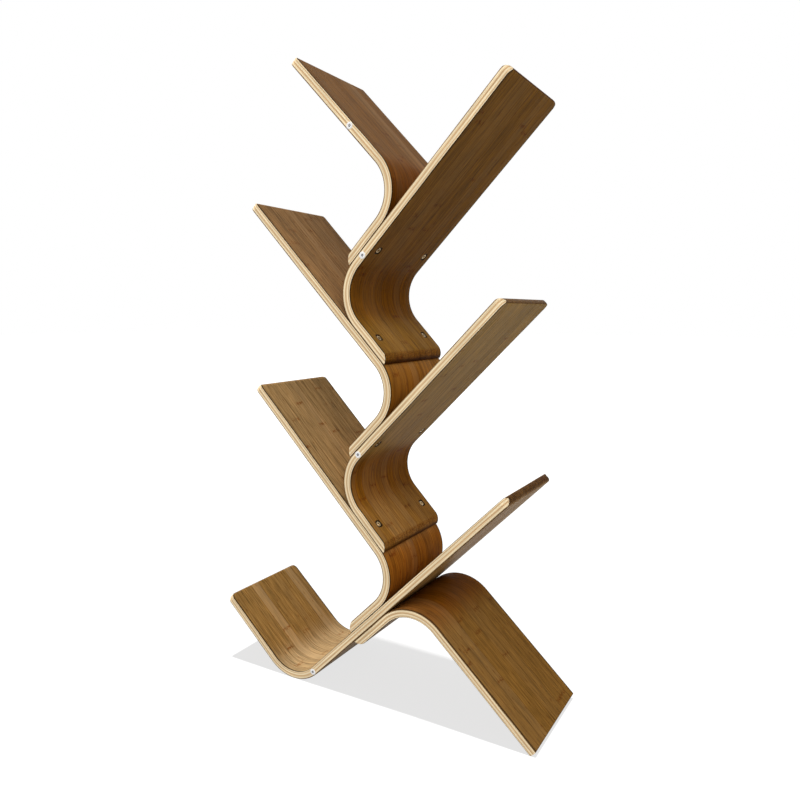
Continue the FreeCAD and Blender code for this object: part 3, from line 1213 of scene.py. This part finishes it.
    def face_colour(
        self,
        tree: bpy.types.NodeTree,
        place: bpy.types.Node,
        run: bpy.types.NodeSocket,
        depth: bpy.types.NodeSocket,
        own: bpy.types.NodeSocket,
        fibres: bpy.types.Node,
    ) -> bpy.types.NodeSocket:
        """Colour of the broad faces: the board's brown with its painted light and shade, made lighter and
        darker by its grain.

        Formula: tone = 1 + the sum of contrast · (pattern − ½) over the patterns. A strip's paleness
        is its chance from 0 to 1 to the power of the rarity.

        Args:
            tree: the material's node tree
            place: place in the laid-out board, in millimetres
            run: its run
            depth: its depth
            own: the board's brown with its painted light and shade
            fibres: the fine streaks

        Returns:
            The colour socket.
        """
        shifted = add(tree, "Math", {0: depth, 1: self.strip_shift}, operation="ADD")
        phase = add(tree, "Math", {0: shifted, 1: self.strip_width}, operation="DIVIDE")
        strip = add(tree, "Math", {0: phase}, operation="FLOOR")
        within = add(tree, "Math", {0: phase}, operation="FRACT")
        sheet = add(tree, "Math", {0: run, 1: SHEET_PITCH}, operation="DIVIDE")
        sheet_number = add(tree, "Math", {0: sheet}, operation="ROUND")
        which = add(tree, "CombineXYZ", {"X": strip, "Y": sheet_number})
        chance = add(tree, "TexWhiteNoise", {"Vector": which}, noise_dimensions="2D")
        patterns = [
            (fibres, self.fibre_contrast),
            (self.grain(tree, place, self.streak_size), self.streak_contrast),
            (self.grain(tree, place, self.band_size), self.band_contrast),
            (self.grain(tree, place, self.cloud_size), self.cloud_contrast),
        ]
        tone = 1.0 - 0.5 * sum(contrast for _, contrast in patterns)
        for pattern, contrast in patterns:
            tone = add(tree, "Math", {0: pattern, 1: contrast, 2: tone}, operation="MULTIPLY_ADD")
        grained = add(tree, "VectorMath", {0: own, "Scale": tone}, operation="SCALE")
        paleness = add(tree, "Math", {0: chance.outputs["Value"], 1: self.strip_rarity}, operation="POWER")
        pale = add(tree, "Math", {0: paleness, 1: self.strip_contrast}, operation="MULTIPLY")
        colour = add(
            tree, "Mix", {"Factor": pale, 6: grained, 7: linear(self.pale_strip)}, data_type="RGBA"
        ).outputs[2]
        shades = [
            (self.seams(tree, within), self.seam),
            (self.knuckles(tree, place, run, chance), self.knuckle),
            (self.flecks(tree, place), self.fleck),
        ]
        for amount, code in shades:
            colour = add(
                tree,
                "Mix",
                {"Factor": amount, 6: colour, 7: linear(code)},
                data_type="RGBA",
                blend_type="MULTIPLY",
            ).outputs[2]
        return colour

    def seams(self, tree: bpy.types.NodeTree, within: bpy.types.Node) -> bpy.types.Node:
        """How much of the seam between two strips shows.

        Args:
            tree: the material's node tree
            within: place across a strip, from 0 to 1

        Returns:
            The node whose result is the amount.
        """
        off_middle = add(tree, "Math", {0: within, 1: 0.5}, operation="SUBTRACT")
        off_middle = add(tree, "Math", {0: off_middle}, operation="ABSOLUTE")
        return add(
            tree,
            "MapRange",
            {"Value": off_middle, "From Min": 0.5 - self.seam_width / self.strip_width, "From Max": 0.5},
            interpolation_type="SMOOTHSTEP",
        )

    def knuckles(
        self,
        tree: bpy.types.NodeTree,
        place: bpy.types.Node,
        run: bpy.types.NodeSocket,
        chance: bpy.types.Node,
    ) -> bpy.types.Node:
        """How much of a knuckle mark shows: a ragged, patchy band across a strip now and then.

        Args:
            tree: the material's node tree
            place: place in the laid-out board, in millimetres
            run: its run
            chance: random value and colour of the strip

        Returns:
            The node whose result is the amount.
        """
        lot = chance.outputs["Color"]
        start = add(tree, "Math", {0: lot, 1: self.knuckle_scatter}, operation="MULTIPLY")
        often = 1.0 / self.knuckle_spacing
        marks = add(tree, "Math", {0: run, 1: often, 2: start}, operation="MULTIPLY_ADD")
        phase = add(tree, "Math", {0: marks}, operation="FRACT")
        off = add(tree, "Math", {0: phase, 1: 0.5}, operation="SUBTRACT")
        away = add(tree, "Math", {0: off}, operation="ABSOLUTE")
        reach = self.knuckle_half_width / self.knuckle_spacing
        near = add(
            tree,
            "MapRange",
            {"Value": away, "From Max": reach, "To Min": 1.0, "To Max": 0.0},
            interpolation_type="SMOOTHSTEP",
        )
        patch = self.grain(tree, place, self.knuckle_patch)
        none, full = self.knuckle_raggedness
        patchy = add(tree, "MapRange", {"Value": patch, "From Min": none, "From Max": full})
        return add(tree, "Math", {0: near, 1: patchy}, operation="MULTIPLY")

    def flecks(self, tree: bpy.types.NodeTree, place: bpy.types.Node) -> bpy.types.Node:
        """How much of a fleck shows: a small lengthwise spot in one cell out of many.

        Args:
            tree: the material's node tree
            place: place in the laid-out board, in millimetres

        Returns:
            The node whose result is the amount.
        """
        drawn = add(tree, "VectorMath", {0: place, 1: self.fleck_size}, operation="DIVIDE")
        cells = add(tree, "TexVoronoi", {"Vector": drawn, "Scale": 1.0})
        lot = add(tree, "SeparateColor", {0: cells.outputs["Color"]})
        chosen = add(tree, "Math", {0: lot, 1: self.fleckless_share}, operation="GREATER_THAN")
        full, none = self.fleck_fade
        spot = add(
            tree,
            "MapRange",
            {
                "Value": cells.outputs["Distance"],
                "From Min": full,
                "From Max": none,
                "To Min": 1.0,
                "To Max": 0.0,
            },
        )
        return add(tree, "Math", {0: chosen, 1: spot}, operation="MULTIPLY")

    def end_grain_and_edge_shade(
        self,
        tree: bpy.types.NodeTree,
        place: bpy.types.Node,
        height: bpy.types.NodeSocket,
        face: bpy.types.NodeSocket,
    ) -> bpy.types.NodeSocket:
        """Speckle and darken the end grain where an end is rounded, and paint shade along the arrises.

        Args:
            tree: the material's node tree
            place: place in the laid-out board, in millimetres
            height: its height above the sheet's front
            face: the colour of the broad faces

        Returns:
            The colour socket.
        """
        half = self.thickness / 2.0
        off_middle = add(tree, "Math", {0: height, 1: half}, operation="SUBTRACT")
        off_middle = add(tree, "Math", {0: off_middle}, operation="ABSOLUTE")
        to_end = add(tree, "Attribute", attribute_name="to_end").outputs["Fac"]
        to_edge = add(tree, "Attribute", attribute_name="to_edge").outputs["Fac"]
        thin, thick = self.face_ply_fade
        fades = [
            (off_middle, half - thick, half - thin, 1.0),
            (to_end, self.end_fade[0] * MM, self.end_fade[1] * MM, 1.0),
            # Painted shade: darkens the strip beside each arris and the holes' linings.
            (to_edge, self.edge_shade_fade[0] * MM, self.edge_shade_fade[1] * MM, self.edge_shade_strength),
        ]
        inside, near_end, edge_shaded = (
            add(
                tree,
                "MapRange",
                {"Value": value, "From Min": start, "From Max": stop, "To Min": full, "To Max": 0.0},
            )
            for value, start, stop, full in fades
        )
        rare, common = self.end_speck_range
        dark, light = self.end_speck_levels
        specks = add(
            tree,
            "MapRange",
            {
                "Value": self.grain(tree, place, self.end_speck),
                "From Min": rare,
                "From Max": common,
                "To Min": dark,
                "To Max": light,
            },
        )
        end = add(tree, "VectorMath", {0: linear(self.end_grain)[:3], "Scale": specks}, operation="SCALE")
        # The end grain is made darker within a few millimetres of the very end.
        dark_end = add(tree, "Math", {0: near_end, 1: inside}, operation="MULTIPLY")
        colour = face
        for amount, shade in ((inside, end), (dark_end, linear(self.end_darkening))):
            colour = add(
                tree,
                "Mix",
                {"Factor": amount, 6: colour, 7: shade},
                data_type="RGBA",
                blend_type="MULTIPLY",
            ).outputs[2]
        # Mix in the painted shade along the arrises.
        return add(
            tree, "Mix", {"Factor": edge_shaded, 6: colour, 7: linear(self.edge_shade)}, data_type="RGBA"
        ).outputs[2]

    def cut_colour(
        self,
        tree: bpy.types.NodeTree,
        place: bpy.types.Node,
        height: bpy.types.NodeSocket,
        own: bpy.types.NodeSocket,
    ) -> bpy.types.NodeSocket:
        """Colour of the cut edges: two pale plies and a tan core between glue lines, with painted shade in
        a dark line at each arris.

        Args:
            tree: the material's node tree
            place: place in the laid-out board, in millimetres
            height: its height above the sheet's front
            own: the board's brown with its painted light and shade, of which the lacquer carries a little
                onto the edges

        Returns:
            The colour socket.
        """
        wander = self.grain(tree, place, self.ply_wander_size)
        lifted = add(tree, "Math", {0: wander, 1: self.ply_wander, 2: height}, operation="MULTIPLY_ADD")
        middle = 0.5 * self.ply_wander
        share = add(
            tree, "MapRange", {"Value": lifted, "From Min": middle, "From Max": self.thickness + middle}
        )
        ramp = add(tree, "ValToRGB", {"Fac": share})
        # The dark stops at both ends of the ramp are painted shade along the arrises.
        set_ramp(ramp, [
            (0.0, self.arris_shade),
            (0.07, self.arris_shade),
            (0.14, self.core),
            (0.21, self.cream),
            (0.32, self.core),
            (0.48, self.glue),
            (0.54, self.core),
            (0.65, self.cream),
            (0.74, self.core),
            (0.81, self.glue),
            (0.86, self.core),
            (0.92, self.cream),
            (0.965, self.arris_shade),
        ])
        grain_place = add(tree, "VectorMath", {0: place, 1: self.cut_grain_size}, operation="DIVIDE")
        grain = add(
            tree, "TexNoise", {"Vector": grain_place, "Scale": 1.0, "Detail": self.cut_grain_detail}
        )
        start, stop = self.cut_grain_range
        dark, light = self.cut_grain_levels
        level = add(
            tree,
            "MapRange",
            {"Value": grain, "From Min": start, "From Max": stop, "To Min": dark, "To Max": light},
        )
        grained = add(tree, "VectorMath", {0: ramp.outputs["Color"], "Scale": level}, operation="SCALE")
        return add(
            tree, "Mix", {"Factor": self.cut_tint, 6: grained, 7: own}, data_type="RGBA"
        ).outputs[2]


@dataclass(frozen=True)
class PlatedSteelFinish:
    """Zinc-plated and yellow-passivated steel, cold-formed: a soft brassy metal with faint clouds."""

    name: str = "yellow_passivated_zinc_plated_steel"
    bright: str = "#D2B88C"
    dull: str = "#705C40"
    cloud_size: float = 3.0
    cloud_detail: float = 5.0
    cloud_range: tuple[float, float] = (0.3, 0.7)
    roughness: tuple[float, float] = (0.28, 0.5)

    def build(self) -> bpy.types.Material:
        """Make the material.

        Returns:
            The plated steel.
        """
        material, tree, shader = new_material(self.name)
        place = add(tree, "TexCoord").outputs["Object"]
        scale = 1.0 / (self.cloud_size * MM)
        clouds = add(tree, "TexNoise", {"Vector": place, "Scale": scale, "Detail": self.cloud_detail})
        ramp = add(tree, "ValToRGB", {"Fac": clouds})
        set_ramp(ramp, list(zip(self.cloud_range, (self.dull, self.bright))))
        tree.links.new(ramp.outputs["Color"], shader.inputs["Base Color"])
        smooth, rough = self.roughness
        roughness = add(tree, "MapRange", {"Value": clouds, "To Min": smooth, "To Max": rough})
        tree.links.new(roughness.outputs[0], shader.inputs["Roughness"])
        shader.inputs["Metallic"].default_value = 1.0
        return material


@dataclass(frozen=True)
class BrassFinish:
    """Turned brass: yellow metal, faintly mottled and roughened by the cutting tool."""

    name: str = "turned_brass"
    bright: str = "#D8B768"
    dull: str = "#B08D48"
    # Real tool marks are about 0.1 mm apart, too fine for the picture, so they are drawn coarser.
    mark_size: float = 0.6
    mark_detail: float = 2.0
    mark_range: tuple[float, float] = (0.35, 0.65)
    mark_depth: float = 0.02
    mark_strength: float = 0.3
    roughness: float = 0.35

    def build(self) -> bpy.types.Material:
        """Make the material.

        Returns:
            The brass.
        """
        material, tree, shader = new_material(self.name)
        place = add(tree, "TexCoord").outputs["Object"]
        scale = 1.0 / (self.mark_size * MM)
        marks = add(tree, "TexNoise", {"Vector": place, "Scale": scale, "Detail": self.mark_detail})
        ramp = add(tree, "ValToRGB", {"Fac": marks})
        set_ramp(ramp, list(zip(self.mark_range, (self.dull, self.bright))))
        tree.links.new(ramp.outputs["Color"], shader.inputs["Base Color"])
        depth = self.mark_depth * MM
        bump = add(tree, "Bump", {"Strength": self.mark_strength, "Distance": depth, "Height": marks})
        tree.links.new(bump.outputs[0], shader.inputs["Normal"])
        shader.inputs["Metallic"].default_value = 1.0
        shader.inputs["Roughness"].default_value = self.roughness
        return material


@dataclass(frozen=True)
class PaperFinish:
    """Printed paper sticker: matt white, with a plain grey ring in its middle."""

    name: str = "printed_paper"
    white: str = "#F1F0EE"
    shade: str = "#DEDCD8"
    ink: str = "#3A3840"
    ring_radius: float = 1.5
    ring_half_width: float = 0.75
    # Real fibres are about 0.02 mm wide, too fine for the picture, so tufts of them are drawn.
    tuft_size: float = 0.8
    tuft_detail: float = 4.0
    tuft_range: tuple[float, float] = (0.3, 0.6)
    tuft_depth: float = 0.02
    tuft_strength: float = 0.2
    roughness: float = 0.75

    def build(self) -> bpy.types.Material:
        """Make the material.

        Returns:
            The paper.
        """
        material, tree, shader = new_material(self.name)
        place = add(tree, "Attribute", attribute_name="on_sticker").outputs["Vector"]
        scale = 1.0 / (self.tuft_size * MM)
        tufts = add(tree, "TexNoise", {"Vector": place, "Scale": scale, "Detail": self.tuft_detail})
        paper = add(tree, "ValToRGB", {"Fac": tufts})
        set_ramp(paper, list(zip(self.tuft_range, (self.shade, self.white))))
        flat = add(tree, "VectorMath", {0: place, 1: (1.0, 0.0, 1.0)}, operation="MULTIPLY")
        out = add(tree, "VectorMath", {0: flat}, operation="LENGTH").outputs["Value"]
        off = add(tree, "Math", {0: out, 1: self.ring_radius * MM}, operation="SUBTRACT")
        away = add(tree, "Math", {0: off}, operation="ABSOLUTE")
        inked = add(tree, "Math", {0: away, 1: self.ring_half_width * MM}, operation="LESS_THAN")
        colour = add(
            tree,
            "Mix",
            {"Factor": inked, 6: paper.outputs["Color"], 7: linear(self.ink)},
            data_type="RGBA",
        )
        tree.links.new(colour.outputs[2], shader.inputs["Base Color"])
        depth = self.tuft_depth * MM
        bump = add(tree, "Bump", {"Strength": self.tuft_strength, "Distance": depth, "Height": tufts})
        tree.links.new(bump.outputs[0], shader.inputs["Normal"])
        shader.inputs["Roughness"].default_value = self.roughness
        return material


@dataclass
class TreeShelf:
    """The whole bookshelf: boards bolted in a zigzag from the floor up.

    Flats are measured from the end of a bend, and so are the middles of the stickers.
    """

    stock: Stock = Stock()
    bolt: BoltSizes = BoltSizes()
    right_slope: float = 45.3
    joint_flat: float = 75.6
    lower_joint_flat: float = 218.7
    foot_setback: float = 4.3
    top_left_flat: float = 247.2
    left_flat: float = 385.7
    right_flat: float = 379.7
    short_flat: float = 87.2
    base_left_flat: float = 157.2
    base_right_flat: float = 549.2
    foot_short_flat: float = 89.2
    foot_round: float = 2.5
    base_sticker_from_bend: float = -4.8
    middle_right_sticker_from_bend: float = 4.2
    top_right_sticker_from_bend: float = 18.2
    top_left_sticker_from_bend: float = 77.7
    tip: SquareEnd = SquareEnd(outer_round=9.0, inner_round=4.0, corner_radius=12.0)
    swept: SweptEnd = SweptEnd()
    # Each batch's browns are partly the board's own tone and partly painted light: darker, redder bends are
    # painted shade, and the base board's pale bend is a painted highlight.
    base_batch: Batch = Batch(371, "#98723D", "#A88B62", "#98723D", Face.INNER)
    foot_batch: Batch = Batch(85, "#88602A", "#7E490C", "#88602A", Face.OUTER)
    lower_left_batch: Batch = Batch(74, "#9A5E1C", "#9A5E1C", "#A08053", Face.OUTER, turned=True)
    middle_right_batch: Batch = Batch(71, "#96682B", "#8A5612", "#A27E44", Face.INNER)
    middle_left_batch: Batch = Batch(57, "#9A641E", "#9A641E", "#947047", Face.OUTER, turned=True)
    top_right_batch: Batch = Batch(5, "#8C6220", "#7A4A02", "#845A20", Face.INNER)
    top_left_batch: Batch = Batch(72, "#744204", "#744204", "#764F22", Face.OUTER, turned=True)

    left_angles: tuple[float, float] = field(init=False)
    right_angles: tuple[float, float] = field(init=False)
    pitch: float = field(init=False)
    boards: list[BentBoard] = field(init=False)
    joints: list[BoltedJoint] = field(init=False)
    stickers: list[EdgeSticker] = field(init=False)

    def __post_init__(self) -> None:
        """Set out the boards from the floor up, then bolt and label them."""
        left_slope = self.stock.bend_angle - self.right_slope
        self.left_angles = (180.0 - left_slope, 180.0 + self.right_slope)
        self.right_angles = (self.right_slope, -left_slope)
        self.pitch = self.joint_flat + 2.0 * self.stock.corner_to_flat
        base = self.floor_board()
        lower_reach = self.lower_joint_flat + 2.0 * self.stock.corner_to_flat
        foot = self.standing_board(base.point(Way.ARM, lower_reach - self.foot_setback))
        start = base.point(Way.ARM, lower_reach, self.stock.thickness)
        lower_left = self.left_board("lower_left_board", start, self.left_flat, self.lower_left_batch)
        middle_right = self.right_board("middle_right_board", lower_left, self.middle_right_batch)
        start = middle_right.point(Way.ARM, self.pitch)
        middle_left = self.left_board("middle_left_board", start, self.left_flat, self.middle_left_batch)
        top_right = self.right_board("top_right_board", middle_left, self.top_right_batch)
        start = top_right.point(Way.ARM, self.pitch)
        top_left = self.left_board("top_left_board", start, self.top_left_flat, self.top_left_batch)
        self.boards = [base, foot, lower_left, middle_right, middle_left, top_right, top_left]
        short = self.stock.corner_to_flat + self.bolt.from_bend
        long = self.pitch - short
        base_short = short - self.foot_setback
        arm, leg = Way.ARM, Way.LEG
        self.joints = [
            BoltedJoint("base_joint", [(foot, leg), (base, arm)], (lower_left, leg), base_short),
            BoltedJoint("lower_joint", [(middle_right, leg)], (lower_left, arm), short),
            BoltedJoint("middle_joint", [(middle_right, arm)], (middle_left, leg), long),
            BoltedJoint("upper_joint", [(top_right, leg)], (middle_left, arm), short),
            BoltedJoint("top_joint", [(top_right, arm)], (top_left, leg), long),
        ]
        self.stickers = [
            EdgeSticker("base_sticker", base, self.base_sticker_from_bend),
            EdgeSticker("middle_right_sticker", middle_right, self.middle_right_sticker_from_bend),
            EdgeSticker("top_right_sticker", top_right, self.top_right_sticker_from_bend),
            EdgeSticker("top_left_sticker", top_left, self.top_left_sticker_from_bend),
        ]

    @property
    def foot_slope(self) -> float:
        """Slope of the foot board's arm and of the base board's left arm."""
        return 180.0 - self.stock.bend_angle - self.right_slope

    def floor_board(self) -> BentBoard:
        """Lay the base board with its bend on the floor and its left tip where the solid's is.

        Formula: the bend's centre is an outer radius above the floor. The corner lies beyond it, away
        from the middle direction of the two arms, by the distance from corner to centre. Then the
        board moves sideways until its leftmost outer point has the least x of the solid's box.

        Returns:
            The base board.
        """
        arm, leg = self.right_slope, 180.0 - self.foot_slope
        middle = direction(arm) + direction(leg)
        upward = middle / np.linalg.norm(middle)
        corner = np.array([0.0, self.stock.outer_radius]) - upward * self.stock.corner_to_centre
        flats = (self.base_right_flat, self.base_left_flat)
        board = BentBoard(
            "base_board", self.base_batch, corner, arm, flats[0], leg, flats[1], self.tip, self.tip
        )
        left_side = board.place(*[grid.ravel() for grid in self.end_grid(board)])[:, 0].min()
        board.corner = corner + np.array([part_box("base_board")[0].x / MM - left_side, 0.0])
        return board

    def end_grid(self, board: BentBoard) -> tuple[np.ndarray, np.ndarray, np.ndarray]:
        """Find the points that outline a board's leg end along its outer face.

        Args:
            board: the board

        Returns:
            Their run, depth and height.
        """
        rows = board.leg_end.rows(self.stock.thickness)
        run = board.run_of(Way.LEG, board.leg_flat) + rows.outer_back
        return run, 0.0 * run, rows.outer_height

    def standing_board(self, corner: np.ndarray) -> BentBoard:
        """Lay the foot board so that its arm's inner arris stands on the floor.

        Formula: the arm is as long as the height of the arris's centre line above the floor at the
        corner ÷ sin of the slope, and longer by the arris's radius.

        Args:
            corner: where its outer faces would meet

        Returns:
            The foot board.
        """
        arm, leg = -self.foot_slope, 180.0 + self.right_slope
        end = SquareEnd(self.foot_round, self.foot_round)
        flats = (0.0, self.foot_short_flat)
        board = BentBoard(
            "foot_board", self.foot_batch, corner, arm, flats[0], leg, flats[1], end, self.swept
        )
        arris = board.point(Way.ARM, 0.0, self.stock.thickness - self.foot_round)[1] - self.foot_round
        length = arris / math.sin(math.radians(self.foot_slope)) + self.foot_round
        board.arm_flat = length - self.stock.corner_to_flat
        return board

    def left_board(self, name: str, corner: np.ndarray, flat: float, batch: Batch) -> BentBoard:
        """A board whose arm climbs to the left."""
        up, down = self.left_angles
        return BentBoard(name, batch, corner, up, flat, down, self.short_flat, self.tip, self.swept)

    def right_board(self, name: str, below: BentBoard, batch: Batch) -> BentBoard:
        """Lay a board whose arm climbs to the right and whose short leg lies on the board below.

        Args:
            name: the board's name
            below: the left board that it lies on
            batch: the bamboo that it is made of

        Returns:
            The board.
        """
        up, down = self.right_angles
        corner = below.point(Way.ARM, self.pitch)
        return BentBoard(
            name, batch, corner, up, self.right_flat, down, self.short_flat, self.tip, self.swept
        )

    def build(self) -> None:
        """Make and dress each piece that takes the place of a solid, and dress the inserts' solids."""
        bamboo = BambooFinish(self.stock.thickness).build()
        steel = PlatedSteelFinish().build()
        brass = BrassFinish().build()
        paper = PaperFinish().build()
        for board in self.boards:
            self.stand_for(board.build(bamboo), board.name)
        for joint in self.joints:
            self.stand_for(joint.build(steel), joint.name + "_bolts")
            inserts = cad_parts[joint.name + "_inserts"]
            inserts.data.materials.clear()
            inserts.data.materials.append(brass)
            LOG.info("%s: dressed in brass", inserts.name)
        for sticker in self.stickers:
            self.stand_for(sticker.build(paper), sticker.name)

    def stand_for(self, piece: bpy.types.Object, node: str) -> None:
        """Let a piece ride the shelf and replace one CAD node.

        Args:
            piece: the new piece
            node: name of the node that it stands for
        """
        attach(piece, BODY)
        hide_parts(node)
        LOG.info("%s: %d vertices, stands for %s", piece.name, len(piece.data.vertices), node)


@dataclass(frozen=True)
class Lamp:
    """One square soft lamp."""

    name: str
    place: tuple[float, float, float]
    aim: tuple[float, float, float]
    size: float
    power: float

    def build(self) -> bpy.types.Object:
        """Hang the lamp in its place and turn it to what it lights.

        Returns:
            The lamp, linked to the scene.
        """
        data = bpy.data.lights.new(self.name, "AREA")
        data.shape = "SQUARE"
        data.size = self.size * MM
        data.energy = self.power
        lamp = bpy.data.objects.new(self.name, data)
        place, aim = Vector(self.place) * MM, Vector(self.aim) * MM
        lamp.location = place
        lamp.rotation_euler = (aim - place).to_track_quat("-Z", "Y").to_euler()
        bpy.context.scene.collection.objects.link(lamp)
        return lamp


@dataclass(frozen=True)
class Studio:
    """Pale floor, soft lights and the camera of the photograph.

    The floor's glow, seen only by the camera and in reflections, grows from the floor's lift near
    the shelf to full white far from it.
    """

    camera_place: tuple[float, float, float] = (667.02, -1104.58, 713.81)
    camera_tilt: float = 81.011
    camera_turn: float = 30.336
    lens: float = 31.508
    sensor: float = 36.0
    shift: tuple[float, float] = (-0.00192, 0.02769)
    floor_size: float = 40000.0
    floor_colour: str = "#A8A8A8"
    floor_seen_colour: str = "#959595"
    floor_lift: float = 0.752
    floor_near: float = 700.0
    floor_far: float = 2600.0
    sky_level: float = 0.1
    lamps: tuple[Lamp, ...] = (
        Lamp("left_lamp", (-3153.0, -3153.0, 4515.0), (0.0, 0.0, 500.0), 5000.0, 105.0),
        Lamp("front_lamp", (0.0, -4459.0, 4515.0), (0.0, 0.0, 500.0), 5000.0, 190.0),
        Lamp("right_lamp", (3153.0, -3153.0, 4515.0), (0.0, 0.0, 500.0), 5000.0, 180.0),
        Lamp("side_lamp", (-4200.0, 300.0, 4300.0), (0.0, 0.0, 0.0), 1500.0, 230.0),
        Lamp("back_lamp", (0.0, 5900.0, 1500.0), (0.0, 0.0, 500.0), 2500.0, 30.0),
    )
    floor_lamp: Lamp = Lamp("floor_lamp", (0.0, -340.0, 20000.0), (0.0, 0.0, 0.0), 400.0, 4260.0)

    def build(self) -> None:
        """Set up the camera, the floor, the sky and the lamps, one of which lights only the floor."""
        self.camera()
        floor = self.floor()
        self.sky()
        only_floor = self.lit_group(Lit.ONLY_FLOOR, floor)
        all_but_floor = self.lit_group(Lit.ALL_BUT_FLOOR, floor)
        for lamp in self.lamps:
            lamp.build().light_linking.receiver_collection = all_but_floor
        self.floor_lamp.build().light_linking.receiver_collection = only_floor
        bpy.context.scene.view_settings.view_transform = "Standard"

    def lit_group(self, lit: Lit, floor: bpy.types.Object) -> bpy.types.Collection:
        """Make the group that tells a lamp what to light.

        Args:
            lit: what the lamp reaches
            floor: the floor

        Returns:
            The group, for a lamp's light linking.
        """
        group = bpy.data.collections.new(lit.name.lower())
        group.objects.link(floor)
        group.collection_objects[0].light_linking.link_state = lit.value
        return group

    def camera(self) -> None:
        """Put the camera where the photograph was taken from."""
        data = bpy.data.cameras.new("camera")
        data.sensor_fit = "HORIZONTAL"
        data.sensor_width = self.sensor
        data.lens = self.lens
        data.shift_x, data.shift_y = self.shift
        camera = bpy.data.objects.new("camera", data)
        camera.location = Vector(self.camera_place) * MM
        camera.rotation_euler = (math.radians(self.camera_tilt), 0.0, math.radians(self.camera_turn))
        bpy.context.scene.collection.objects.link(camera)
        bpy.context.scene.camera = camera

    def floor(self) -> bpy.types.Object:
        """Lay a pale floor that shows white to the camera except in shadow.

        Returns:
            The floor.
        """
        half = self.floor_size / 2.0
        corners = np.array([[-half, -half, 0.0], [half, -half, 0.0], [half, half, 0.0], [-half, half, 0.0]])
        mesh = bpy.data.meshes.new("floor")
        mesh.from_pydata((corners * MM).tolist(), [], [(0, 1, 2, 3)])
        floor = bpy.data.objects.new("floor", mesh)
        bpy.context.scene.collection.objects.link(floor)
        material = bpy.data.materials.new("white_studio_floor")
        material.use_nodes = True
        tree = material.node_tree
        tree.nodes.clear()
        seen = self.seen(tree)
        colour = add(
            tree,
            "Mix",
            {"Factor": seen, 6: linear(self.floor_colour), 7: linear(self.floor_seen_colour)},
            data_type="RGBA",
        ).outputs[2]
        matt = add(tree, "BsdfDiffuse", {"Color": colour})
        place = add(tree, "TexCoord").outputs["Object"]
        away = add(tree, "VectorMath", {0: place}, operation="LENGTH").outputs["Value"]
        level = add(
            tree,
            "MapRange",
            {
                "Value": away,
                "From Min": self.floor_near * MM,
                "From Max": self.floor_far * MM,
                "To Min": self.floor_lift,
            },
        )
        strength = add(tree, "Math", {0: seen, 1: level}, operation="MULTIPLY")
        glow = add(tree, "Emission", {"Strength": strength})
        surface = add(tree, "AddShader", {0: matt, 1: glow})
        add(tree, "OutputMaterial", {"Surface": surface})
        mesh.materials.append(material)
        return floor

    def seen(self, tree: bpy.types.NodeTree) -> bpy.types.Node:
        """Tell whether a ray comes from the camera, a reflection or a transmission.

        Args:
            tree: the node tree of the floor or the world

        Returns:
            The node whose result is 1 for such a ray, else 0.
        """
        path = add(tree, "LightPath").outputs
        first = add(tree, "Math", {0: path["Is Camera Ray"], 1: path["Is Glossy Ray"]}, operation="MAXIMUM")
        return add(tree, "Math", {0: first, 1: path["Is Transmission Ray"]}, operation="MAXIMUM")

    def sky(self) -> None:
        """Light everything evenly from all round, and show as white."""
        world = bpy.data.worlds.new("studio")
        bpy.context.scene.world = world
        world.use_nodes = True
        tree = world.node_tree
        tree.nodes.clear()
        level = add(
            tree, "MapRange", {"Value": self.seen(tree), "To Min": self.sky_level, "To Max": 1.0}
        )
        sky = add(tree, "Background", {"Color": (1.0, 1.0, 1.0, 1.0), "Strength": level})
        add(tree, "OutputWorld", {"Surface": sky})


def main() -> None:
    """Build the shelf and the studio, and report each piece."""
    logging.basicConfig(level=logging.INFO, format="%(message)s")
    TreeShelf().build()
    Studio().build()


if __name__ == "__main__":
    main()
